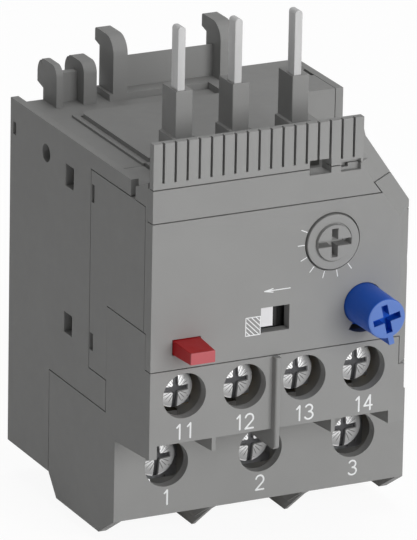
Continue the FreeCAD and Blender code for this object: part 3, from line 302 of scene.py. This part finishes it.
def screw_finish(name):
    """Nickel plate with painted shade: dark where the screw's own recess attribute is high."""
    material, tree, shader = new_material(name, nickel_silver, roughness=0.3, metallic=0.5)
    recess = tree.nodes.new("ShaderNodeAttribute")
    recess.attribute_name = "recess"
    two_colours(tree, shader, recess.outputs["Fac"], nickel_silver, recess_painted_shade_grey)
    vector = coordinates(tree)
    vary_roughness(tree, shader, vector, size=0.8, low=0.27, high=0.36)
    add_grain(tree, shader, vector, size=0.3, depth=0.0004)
    return material


# Finishes, by a short name
finishes = {
    "housing": moulded_plastic("housing_plastic", housing_grey, roughness=0.6, grain=0.006),
    "comb": moulded_plastic("comb_plastic", comb_grey, roughness=0.6, grain=0.005),
    "dial": moulded_plastic("dial_plastic", dial_grey, roughness=0.55, grain=0.003),
    "inner": moulded_plastic("inner_plastic", inner_black, roughness=0.4, grain=0.003),
    "blue": worn_front("blue_plastic", "reset_knob", knob_blue, knob_painted_sheen_blue),
    "red": worn_front("red_plastic", "stop_button", button_red, button_painted_sheen_red),
    "slide": test_slide_finish("test_slide_plastic"),
    "tin": worked_metal("tinned_copper", tin_silver, 0.5, along_pin, metallic=0.25),
    "nickel": screw_finish("nickel_plate"),
    "zinc": worked_metal("zinc_plate", zinc_silver, 0.32, even, size=0.3),
    "brass": worked_metal("pressed_brass", brass_yellow, 0.3, across_press),
    "steel": worked_metal("drawn_steel", steel_grey, 0.28, even, size=0.1, depth=0.003),
    "wire": worked_metal("heater_wire", wire_grey, 0.45, even, size=0.15),
    "bimetal": worked_metal("bimetal", steel_grey, 0.35, along_strip),
}

# Which finish each node has, by the start of its name
node_finishes = {
    "rear_housing": "housing",
    "top_deck": "housing",
    "mechanism_housing": "housing",
    "terminal_housing": "housing",
    "front_cover": "housing",
    "label_strip": "housing",
    "vent_comb": "comb",
    "pin_carrier": "housing",
    "contact_carrier": "inner",
    "trip_slider": "inner",
    "trip_lever": "inner",
    "lever_pin": "steel",
    "setting_dial": "dial",
    "reset_plunger": "inner",
    "reset_knob": "blue",
    "stop_button": "red",
    "reset_spring": "steel",
    "stop_spring": "steel",
    "return_spring": "steel",
    "test_slide": "slide",
    "contact_pin": "tin",
    "heater_coil": "wire",
    "bimetal_strip": "bimetal",
    "main_busbar": "brass",
    "main_clamp": "zinc",
    "main_screw": "nickel",
    "aux_plate": "brass",
    "aux_clamp": "zinc",
    "aux_screw": "nickel",
    "closed_bridge": "brass",
    "open_bridge": "brass",
}

# Pieces that are seen from outside, and how wide their moulded or pressed edges are rounded
rounded_edges = {
    "rear_housing": shell_edge,
    "top_deck": shell_edge,
    "mechanism_housing": shell_edge,
    "terminal_housing": shell_edge,
    "front_cover": shell_edge,
    "label_strip": thin_edge,
    "vent_comb": thin_edge,
    "pin_carrier": shell_edge,
    "reset_knob": thin_edge,
    "stop_button": thin_edge,
    "contact_pin_1": thin_edge,
    "contact_pin_2": thin_edge,
    "contact_pin_3": thin_edge,
}


def finish_of(node):
    """Finish of a node, found by the start of its name."""
    stem = node.rstrip("0123456789").rstrip("_")
    return finishes[node_finishes[stem]]


def body_of(node):
    """Body that a node belongs to."""
    bodies = frame["record"]["behaviour"]["bodies"]
    return next(body for body, members in bodies.items() if node in members)


def paint(piece, material):
    """Give a piece one material."""
    piece.data.materials.clear()
    piece.data.materials.append(material)


def new_object(name, data):
    """Object of a mesh, lamp or camera, in the scene."""
    item = bpy.data.objects.new(name, data)
    bpy.context.scene.collection.objects.link(item)
    return item


def stand_in(name, mesh, node):
    """Object that stands for a node: on its body, with its finish."""
    piece = new_object(name, mesh)
    paint(piece, finish_of(node))
    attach(piece, body_of(node))
    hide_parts(node)
    return piece


def smooth_by_angle(mesh, degrees):
    """Smooth shading that stays crisp at edges sharper than an angle."""
    mesh.shade_smooth()
    mesh.set_sharp_from_angle(angle=math.radians(degrees))


def points_of(mesh):
    """Points of a mesh as an array of x, y and z."""
    points = np.empty(len(mesh.vertices) * 3)
    mesh.vertices.foreach_get("co", points)
    return points.reshape(-1, 3)


def trim_pin(points):
    """Pin's tip, a little lower."""
    tip = points[:, 2] > points[:, 2].max() - mm(pin_tip)
    points[tip, 2] -= mm(pin_trim)


def close_corner(points):
    """Lower shell's corner, brought up to the cover's flange."""
    wall = np.abs(points[:, 0] - mm(seat_side)) < mm(plane_reach)
    wall &= points[:, 2] > mm(seat_floor)
    wall &= points[:, 1] < front_y + mm(seat_depth)
    points[wall, 0] = mm(flange_side)


def slope_webs(points):
    """Lid's webs between its hooks: the tall one lower at the rear, the short one higher."""
    tall = np.abs(points[:, 2] - mm(tall_web_top)) < mm(plane_reach)
    tall &= points[:, 1] > mm(tall_web_rear)
    points[tall, 2] -= mm(tall_web_fall)
    short = np.abs(points[:, 2] - mm(short_web_top)) < mm(plane_reach)
    points[short, 2] += mm(short_web_rise)


# Small changes of form before the edges are rounded
reshaping = {
    "top_deck": slope_webs,
    "terminal_housing": close_corner,
    "contact_pin_1": trim_pin,
    "contact_pin_2": trim_pin,
    "contact_pin_3": trim_pin,
}


def merged_copy(node, flatten=False):
    """Copy of a node's mesh with its triangles joined and, with flatten, its flat faces made one."""
    mesh = nodes[node].data.copy()
    shape = bmesh.new()
    shape.from_mesh(mesh)
    bmesh.ops.remove_doubles(shape, verts=shape.verts, dist=mm(merge_reach))
    if flatten:
        limit = math.radians(flat_angle)
        bmesh.ops.dissolve_limit(shape, angle_limit=limit, verts=shape.verts, edges=shape.edges)
    shape.to_mesh(mesh)
    shape.free()
    return mesh


def round_edges(node, width):
    """Stand-in of a node whose sharp edges are rounded over a width in millimetres."""
    mesh = merged_copy(node, flatten=True)
    if node in reshaping:
        points = points_of(mesh)
        reshaping[node](points)
        mesh.vertices.foreach_set("co", points.ravel())
        mesh.update()
    smooth_by_angle(mesh, shell_angle)
    piece = stand_in(node + "_moulding", mesh, node)
    bevel = piece.modifiers.new("rounded edges", "BEVEL")
    bevel.width = mm(width)
    bevel.segments = edge_segments
    bevel.limit_method = "ANGLE"
    bevel.angle_limit = math.radians(shell_angle)
    bevel.use_clamp_overlap = True
    bevel.harden_normals = True


for node, item in nodes.items():
    paint(item, finish_of(node))
for node, width in rounded_edges.items():
    round_edges(node, width)


def surface(name, points):
    """Mesh over a grid of points, each row a closed ring."""
    rows, columns = points.shape[:2]
    here = np.arange(rows * columns).reshape(rows, columns)
    beside = np.roll(here, -1, axis=1)
    faces = np.stack([here[:-1], here[1:], beside[1:], beside[:-1]], axis=-1).reshape(-1, 4)
    mesh = bpy.data.meshes.new(name)
    mesh.from_pydata(points.reshape(-1, 3).tolist(), [], faces.tolist())
    return mesh


def settle(mesh):
    """Merge the points that meet at poles and seams, and turn the faces outwards."""
    shape = bmesh.new()
    shape.from_mesh(mesh)
    bmesh.ops.remove_doubles(shape, verts=shape.verts, dist=mm(fine_merge_reach))
    bmesh.ops.recalc_face_normals(shape, faces=shape.faces)
    shape.to_mesh(mesh)
    shape.free()
    return mesh


def smoothstep(value, low, high):
    """0 below low, 1 above high and 3t² - 2t³ between them."""
    t = np.clip((value - low) / (high - low), 0, 1)
    return t * t * (3 - 2 * t)


def ring_at(radius, depth, angle):
    """Circle about y at one depth."""
    across = radius * np.sin(angle)
    up = radius * np.cos(angle)
    return np.stack([across, np.full_like(angle, depth), up], axis=-1)


# Points round the dial, rings over its face, and where the rim's round starts, in radians
dial_sides = 256
middle_rings = 44
groove_rings = 12
rim_rings = 4
round_rings = 6
first_round = 0.2

# Dial, in millimetres; heights count back from the front face
knob_edge = 2.6
knob_wall = 0.04
knob_inset = 0.05
knob_height = -0.75
groove_half = 0.07
groove_height = -0.15
rim_edge = 3.95
rim_height = -0.35
rim_round = 0.12
rim_rear = 0.75
shaft_edge = 2.0
shaft_rear = 8.0
cross_half = 0.47
cross_up = 2.05
cross_side = 2.5
cross_depth = 1.7
cross_wall = 0.08


def bar(along, off, reach, half, wall):
    """1 within a straight bar of half a width each side, 0 outside, with a short slope between."""
    inside = 1 - smoothstep(np.abs(off), half - wall, half)
    return inside * (1 - smoothstep(np.abs(along), reach - wall, reach))


def dial_points():
    """Grid of points of the dial about y, its height counted from the front face.

    Over the radius r the face is the raised middle, a groove at its foot, then
    the rim. Both steps follow smoothstep, and the rim's edge falls off as
    c * (1 - sqrt(1 - f^2)) with f from 0 to 1 over its last c millimetres. A
    cross is sunk into the middle. Behind the rim the surface steps in to the
    shaft and closes at its end.
    """
    angle = np.linspace(0, 2 * np.pi, dial_sides, endpoint=False)
    ring = np.concatenate([
        np.linspace(0, knob_edge - knob_inset, middle_rings),
        np.linspace(knob_edge - knob_wall, knob_edge + 4 * groove_half, groove_rings),
        np.linspace(knob_edge + 5 * groove_half, rim_edge - rim_round, rim_rings),
        rim_edge - rim_round * (1 - np.sin(np.linspace(first_round, np.pi / 2, round_rings))),
    ])
    foot = smoothstep(ring, knob_edge - knob_wall, knob_edge)
    after = smoothstep(ring, knob_edge + 2 * groove_half, knob_edge + 3 * groove_half)
    height = knob_height + (groove_height - knob_height) * foot
    height = height + (rim_height - groove_height) * after
    fall = np.clip((ring - rim_edge + rim_round) / rim_round, 0, 1)
    height = height + rim_round * (1 - np.sqrt(1 - fall ** 2))
    across = ring[:, None] * np.sin(angle)
    up = ring[:, None] * np.cos(angle)
    upright = bar(up, across, cross_up, cross_half, cross_wall)
    level = bar(across, up, cross_side, cross_half, cross_wall)
    cross = np.maximum(upright, level)
    face = np.stack([across, height[:, None] + cross_depth * cross, up], axis=-1)
    rest = [ring_at(rim_edge, rim_rear, angle), ring_at(shaft_edge, rim_rear, angle),
            ring_at(shaft_edge, shaft_rear, angle), ring_at(0.0, shaft_rear, angle)]
    return np.concatenate([face, np.stack(rest)])


def make_dial():
    """Setting dial that stands for its node."""
    centre = (dial_low + dial_high) / 2
    points = mm(dial_points()) + np.array([centre.x, front_y, centre.z])
    mesh = settle(surface("setting_dial_turned", points))
    smooth_by_angle(mesh, turned_angle)
    stand_in("setting_dial_turned", mesh, "setting_dial")


make_dial()


def wind_spring(change):
    """Smooth copy of a coil spring that stands for its node."""
    node = change["node"]
    mesh = merged_copy(node)
    smooth_by_angle(mesh, spring_angle)
    piece = stand_in(node + "_wound", mesh, node)
    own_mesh(piece)


for joint in frame["record"]["behaviour"]["joints"]:
    for change in joint.get("deforming_nodes", []):
        wind_spring(change)


# Apron that carries the lid's gutter forward to the comb: millimetres, and points round it
apron_left = -21.2
apron_gap = 0.1
apron_front = 5.6
apron_top = 55.0
apron_bottom = 53.7
apron_round = 0.15
apron_sides = 32


def make_apron():
    """Strip beside the pins' carrier, carried back to the lid.

    Its section is a rectangle with round corners. From the middle a point
    lies off by half a side less the corner's radius, times the sign of cos t
    or sin t, plus that radius times cos t or sin t.
    """
    right = in_mm(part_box("pin_carrier")[0].x) - apron_gap
    rear = in_mm(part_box("top_deck")[0].y) - apron_gap
    front = in_mm(front_y) + apron_front
    turn = np.linspace(0, 2 * np.pi, apron_sides, endpoint=False) + np.pi / apron_sides
    half_x = (right - apron_left) / 2 - apron_round
    half_z = (apron_top - apron_bottom) / 2 - apron_round
    x = (right + apron_left) / 2 + np.sign(np.cos(turn)) * half_x + apron_round * np.cos(turn)
    z = (apron_top + apron_bottom) / 2 + np.sign(np.sin(turn)) * half_z + apron_round * np.sin(turn)
    edge = np.stack([x, z])
    middle = np.stack([np.full_like(turn, x.mean()), np.full_like(turn, z.mean())])
    rings = [(middle, front), (edge, front), (edge, rear), (middle, rear)]
    points = [np.stack([ring[0], np.full_like(turn, y), ring[1]], axis=-1) for ring, y in rings]
    mesh = settle(surface("lid_apron", mm(np.stack(points))))
    smooth_by_angle(mesh, turned_angle)
    piece = new_object("lid_apron", mesh)
    paint(piece, finish_of("top_deck"))
    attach(piece, body_of("top_deck"))


make_apron()


# Points round a screw, rings over its head and to each turn of its thread
head_sides = 240
head_rings = 56
ring_crowding = 0.8
thread_rings = 6

# Screws: head, recess, marks and thread, in millimetres, shares of the radius and degrees
face_share = 0.97
crown = 0.16
rim_share = 0.9
rim_drop = 0.25
slot_half = 0.42
slot_wall = 0.1
slot_depth = 0.55
arm_share = 0.72
hub_radius = 0.7
mark_depth = 0.02
mark_half = 0.09
mark_angles = (27.0, 45.0, 63.0)
mark_shade = 0.9
mark_start = (0.28, 0.36)
mark_end = (0.62, 0.8)
thread_cut = 0.28
tip_taper = 0.35


def head_marks(across, up, radius):
    """Share of the fine straight marks that run out between slot and arm, three to a quarter."""
    reach = np.hypot(across, up)
    marks = np.zeros_like(reach)
    for quarter in range(4):
        for degrees in mark_angles:
            angle = math.radians(degrees + 90 * quarter)
            along = across * math.cos(angle) + up * math.sin(angle)
            off = np.abs(across * math.sin(angle) - up * math.cos(angle))
            marks = np.maximum(marks, np.clip(1 - off / mark_half, 0, 1) * (along > 0))
    start = smoothstep(reach, mark_start[0] * radius, mark_start[1] * radius)
    end = smoothstep(reach, mark_end[0] * radius, mark_end[1] * radius)
    return marks * start * (1 - end)


def screw_points(radius, height, shank, length, pitch):
    """Grid of points of a screw along y, and for each its share of painted shade in the recess and
    fine marks, from 0 to 1.

    The head's face starts at y = 0 and is a paraboloid: its depth is crown *
    R * (r/R)^2, and near the rim it falls off as a quarter circle. An upright
    slot, a shorter arm and a round hub are sunk into it. The shank's radius
    follows the thread's triangle wave over y/pitch - angle/2pi, and its end
    tapers to the axis.
    """
    angle = np.linspace(0, 2 * np.pi, head_sides, endpoint=False)
    ring = radius * np.linspace(0, 1, head_rings) ** ring_crowding
    share = ring / radius
    fall = np.clip((share - rim_share) / (1 - rim_share), 0, 1)
    depth = crown * radius * share ** 2 + rim_drop * (1 - np.sqrt(1 - fall ** 2))
    across = ring[:, None] * np.sin(angle)
    up = ring[:, None] * np.cos(angle)
    slot = bar(up, across, 2 * radius, slot_half, slot_wall)
    arm = bar(across, up, arm_share * radius, slot_half, slot_wall)
    hub = 1 - smoothstep(np.hypot(across, up), hub_radius - slot_wall, hub_radius)
    sunk = np.maximum(np.maximum(slot, arm), hub)
    marks = head_marks(across, up, radius)
    inside = (1 - smoothstep(share, face_share, 1.0))[:, None]
    deep = np.maximum(slot_depth * sunk, mark_depth * marks) * inside
    face = np.stack([across, depth[:, None] + deep, up], axis=-1)
    shade = np.maximum(sunk, mark_shade * marks)
    side = [ring_at(radius, height, angle), ring_at(shank, height, angle)]
    reach = np.linspace(0, length, int(length / pitch * thread_rings))
    wave = np.abs(2 * np.mod(reach[:, None] / pitch - angle / (2 * np.pi), 1) - 1)
    cut = thread_cut * pitch * (1 - smoothstep(-reach, -pitch, 0))[:, None]
    taper = 1 - tip_taper * smoothstep(reach, length - pitch, length)[:, None]
    thread = (shank - cut * wave) * taper
    along = np.broadcast_to(height + reach[:, None], thread.shape)
    body = np.stack([thread * np.sin(angle), along, thread * np.cos(angle)], axis=-1)
    tip = ring_at(0.0, height + length, angle)
    points = np.concatenate([face, np.stack(side), body, tip[None]])
    plain = np.zeros((len(points) - head_rings, head_sides))
    return points, np.concatenate([shade, plain])


def make_screw(node, shank, pitch, head_height):
    """Plated screw that stands for a node, with a real recess and thread."""
    low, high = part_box(node)
    centre = (low + high) / 2
    radius = in_mm(high.x - low.x) / 2
    length = in_mm(high.y - low.y) - head_height
    points, shade = screw_points(radius, head_height, shank, length, pitch)
    place = np.array([centre.x, low.y, centre.z])
    mesh = surface(node + "_turned", mm(points) + place)
    # Painted shade: the recess and the fine marks are painted darker
    recess = mesh.attributes.new("recess", "FLOAT", "POINT")
    recess.data.foreach_set("value", shade.ravel())
    smooth_by_angle(settle(mesh), screw_angle)
    stand_in(node + "_turned", mesh, node)


main_screws = ["main_screw_" + str(n) for n in (1, 2, 3)]
aux_screws = ["aux_screw_" + str(n) for n in (1, 2, 3, 4)]
for name in main_screws:
    make_screw(name, shank=1.9, pitch=0.7, head_height=2.0)
for name in aux_screws:
    make_screw(name, shank=1.45, pitch=0.5, head_height=1.6)


# Ticks of the dial: reach in millimetres, angles in degrees, and how many
tick_start = 4.3
tick_end = 5.25
first_tick = 155.0
tick_step = 25.0
ticks = 7

# Prints on the front, in millimetres from the relay's middle and the floor
thin_line = 0.14
number_line = 0.26
arrow_tip_x = -5.4
arrow_tail_x = -1.48
arrow_z = 39.8
arrow_head = 1.3
arrow_half = 0.25
hatch_left = -8.15
hatch_right = -5.95
hatch_low = 33.7
hatch_high = 36.3
number_height = 2.1
number_width = 1.2
number_pitch = 1.62
aux_number_z = 21.25
main_number_z = 7.25
lower_face_depth = 10.87

# First number of the upper row, and how many lines, steps and points a print has
first_aux_number = 11
hatch_lines = 6
arc_steps = 20
cap_rings = 4
stroke_sides = 12


def straight(*corners):
    """Path through corners, given as x and z."""
    return np.array(corners, dtype=float)


def bow(x, z, wide, high, start, end):
    """Arc of an ellipse between two angles in degrees: x + wide cos a, z + high sin a."""
    angle = np.radians(np.linspace(start, end, arc_steps))
    return np.stack([x + wide * np.cos(angle), z + high * np.sin(angle)], axis=-1)


# Strokes of the digits, in a box one wide and one high
digits = {
    "1": [straight((0.3, 0.8), (0.65, 1.0)), straight((0.65, 1.0), (0.65, 0.0))],
    "2": [np.concatenate([bow(0.5, 0.7, 0.5, 0.3, 165, -35), straight((0.0, 0.0))]),
          straight((0.0, 0.0), (1.0, 0.0))],
    "3": [bow(0.48, 0.76, 0.44, 0.24, 150, -90), bow(0.48, 0.26, 0.52, 0.26, 90, -155)],
    "4": [straight((0.75, 0.0), (0.75, 1.0)), straight((0.75, 1.0), (0.0, 0.3)),
          straight((0.0, 0.3), (1.0, 0.3))],
}


def ink_stroke(name, path, width, face_y):
    """Raised stroke of ink along a path in x and z, round in section and at both ends.

    Each ring is centre + side * w/2 * cos t in the plane and the face's depth
    plus h * sin t across it. Past either end the ring's centre moves on by
    w/2 * sin a while its size falls as cos a.
    """
    run = np.gradient(path, axis=0)
    run = run / np.linalg.norm(run, axis=1)[:, None]
    cap = np.linspace(0, np.pi / 2, cap_rings + 1)[1:]
    start = path[0] - run[0] * width / 2 * np.sin(cap[::-1])[:, None]
    end = path[-1] + run[-1] * width / 2 * np.sin(cap)[:, None]
    centre = np.concatenate([start, path, end])
    size = np.concatenate([np.cos(cap[::-1]), np.ones(len(path)), np.cos(cap)])[:, None]
    first = np.repeat(run[:1], cap_rings, axis=0)
    last = np.repeat(run[-1:], cap_rings, axis=0)
    run = np.concatenate([first, run, last])
    turn = np.linspace(0, 2 * np.pi, stroke_sides, endpoint=False)
    spread = size * width / 2 * np.cos(turn)
    x = centre[:, :1] - run[:, 1:] * spread
    z = centre[:, 1:] + run[:, :1] * spread
    y = in_mm(face_y) + size * print_height * np.sin(turn)
    return settle(surface(name, mm(np.stack([x, y, z], axis=-1))))


def printed(name, paths, width, face_y):
    """One print made of strokes."""
    whole = bmesh.new()
    for path in paths:
        whole.from_mesh(ink_stroke(name, path, width, face_y))
    mesh = bpy.data.meshes.new(name)
    whole.to_mesh(mesh)
    whole.free()
    smooth_by_angle(mesh, print_angle)
    return new_object(name, mesh)


def dial_ticks():
    """Short strokes around the dial, evenly spaced by angle."""
    centre = in_mm(dial_low + dial_high) / 2
    middle = np.array([centre.x, centre.z])
    paths = []
    for n in range(ticks):
        angle = math.radians(first_tick + n * tick_step)
        spoke = np.array([math.cos(angle), math.sin(angle)])
        paths.append(np.stack([middle + tick_start * spoke, middle + tick_end * spoke]))
    return paths


def arrow():
    """Arrow to the left: a slim open head on a thin line."""
    tip = (arrow_tip_x, arrow_z)
    barb_x = arrow_tip_x + arrow_head
    return [straight(tip, (arrow_tail_x, arrow_z)), straight(tip, (barb_x, arrow_z + arrow_half)),
            straight(tip, (barb_x, arrow_z - arrow_half))]


def hatch():
    """Square outline filled with slanting lines at one even spacing."""
    left, right, low, high = hatch_left, hatch_right, hatch_low, hatch_high
    paths = [straight((left, low), (right, low)), straight((left, high), (right, high)),
             straight((left, low), (left, high)), straight((right, low), (right, high))]
    run = (right - left) + (high - low)
    for n in range(1, hatch_lines + 1):
        reach = run * n / (hatch_lines + 1)
        from_x = left + max(0.0, reach - (high - low))
        from_z = low + min(reach, high - low)
        to_x = left + min(reach, right - left)
        to_z = low + max(0.0, reach - (right - left))
        paths.append(straight((from_x, from_z), (to_x, to_z)))
    return paths


def number(value, x, z):
    """Strokes of a plain number with its middle at x and z."""
    figures = str(value)
    first = x - number_pitch * (len(figures) - 1) / 2 - number_width / 2
    corner = np.array([first, z - number_height / 2])
    scale = np.array([number_width, number_height])
    step = np.array([number_pitch, 0.0])
    paths = []
    for n, digit in enumerate(figures):
        paths += [corner + n * step + path * scale for path in digits[digit]]
    return paths


def numbers(name, screws, first, z, face_y):
    """A plain number under each screw of a row."""
    pieces = []
    for n, screw in enumerate(screws):
        low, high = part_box(screw)
        paths = number(first + n, in_mm(low.x + high.x) / 2, z)
        pieces.append(printed(name + str(n + 1), paths, number_line, face_y))
    return pieces


def make_prints():
    """All prints, with the material of thick white ink."""
    ink = moulded_plastic("white_ink", print_white, roughness=0.5, grain=0.002, specular=0.3)
    main_y = front_y + mm(lower_face_depth)
    pieces = [
        printed("dial_ticks", dial_ticks(), thin_line, front_y),
        printed("test_arrow", arrow(), thin_line, front_y),
        printed("hatched_square", hatch(), thin_line, front_y),
    ]
    pieces += numbers("aux_number_", aux_screws, first_aux_number, aux_number_z, front_y)
    pieces += numbers("main_number_", main_screws, 1, main_number_z, main_y)
    for piece in pieces:
        paint(piece, ink)
        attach(piece, "housing")


make_prints()


# Camera as recovered from the photograph: place in metres, its right and up, lens in millimetres
camera_place = (-0.4231, -0.84515, 0.3690)
camera_right = Vector((0.89845, -0.43871, 0.01790))
camera_up = Vector((0.13088, 0.30652, 0.94281))
camera_lens = 480.06
camera_sensor = 36.0


def make_camera():
    """Camera over the left front corner, looking down."""
    data = bpy.data.cameras.new("camera")
    data.sensor_fit = "VERTICAL"
    data.sensor_height = camera_sensor
    data.lens = camera_lens
    camera = new_object("camera", data)
    back = camera_right.cross(camera_up)
    turn = Matrix((camera_right, camera_up, back)).transposed()
    camera.matrix_world = Matrix.Translation(camera_place) @ turn.to_4x4()
    bpy.context.scene.camera = camera


def background_rays(tree):
    """1 for rays that show the background: seen directly, mirrored or through glass."""
    path = tree.nodes.new("ShaderNodeLightPath")
    seen = combine(tree, "MAXIMUM", path.outputs["Is Camera Ray"], path.outputs["Is Glossy Ray"])
    return combine(tree, "MAXIMUM", seen, path.outputs["Is Transmission Ray"])


# Strength of the even light, the floor's own glow and its share where it is seen
sky_level = 0.18
floor_glow = 1.05
floor_share = 0.88

# Half a side of the floor, in metres
floor_half = 4.0


def make_world():
    """Even light from all round, and a white background behind the relay."""
    world = bpy.data.worlds.new("studio")
    world.use_nodes = True
    bpy.context.scene.world = world
    tree = world.node_tree
    light = tree.nodes["Background"]
    light.inputs["Color"].default_value = (1.0, 1.0, 1.0, 1.0)
    light.inputs["Strength"].default_value = sky_level
    white = tree.nodes.new("ShaderNodeBackground")
    white.inputs["Color"].default_value = (1.0, 1.0, 1.0, 1.0)
    white.inputs["Strength"].default_value = 1.0
    mix = tree.nodes.new("ShaderNodeMixShader")
    tree.links.new(background_rays(tree), mix.inputs["Fac"])
    tree.links.new(light.outputs["Background"], mix.inputs[1])
    tree.links.new(white.outputs["Background"], mix.inputs[2])
    tree.links.new(mix.outputs["Shader"], tree.nodes["World Output"].inputs["Surface"])


def make_floor():
    """Plain pale floor that takes the relay's shadow."""
    mesh = bpy.data.meshes.new("floor")
    half = floor_half
    corners = [(-half, -half, 0), (half, -half, 0), (half, half, 0), (-half, half, 0)]
    mesh.from_pydata(corners, [], [(0, 1, 2, 3)])
    floor = new_object("floor", mesh)
    material, tree, shader = new_material("floor_paint", floor_white, roughness=0.9, specular=0.0)
    glow = tree.nodes.new("ShaderNodeEmission")
    glow.inputs["Strength"].default_value = floor_glow
    mix = tree.nodes.new("ShaderNodeMixShader")
    tree.links.new(combine(tree, "MULTIPLY", background_rays(tree), floor_share), mix.inputs["Fac"])
    tree.links.new(shader.outputs["BSDF"], mix.inputs[1])
    tree.links.new(glow.outputs["Emission"], mix.inputs[2])
    tree.links.new(mix.outputs["Shader"], tree.nodes["Material Output"].inputs["Surface"])
    floor.data.materials.append(material)


# Lamps: how far off, how wide, and where they aim, in metres
lamp_distance = 1.2
lamp_size = 0.8
lamp_target = Vector((0.0, 0.0, 0.035))


def softbox(name, direction, level):
    """Square lamp whose power is level * pi² * distance², which lights a surface to that level."""
    data = bpy.data.lights.new(name, "AREA")
    data.shape = "SQUARE"
    data.size = lamp_size
    data.energy = level * math.pi ** 2 * lamp_distance ** 2
    lamp = new_object(name, data)
    place = lamp_target + Vector(direction).normalized() * lamp_distance
    turn = (place - lamp_target).to_track_quat("Z", "Y").to_matrix().to_4x4()
    lamp.matrix_world = Matrix.Translation(place) @ turn


make_camera()
make_world()
make_floor()
softbox("key_lamp", direction=(0.2, -0.95, 0.24), level=0.74)
softbox("top_lamp", direction=(0.1, 0.15, 1.0), level=0.26)
bpy.context.scene.view_settings.view_transform = "Standard"
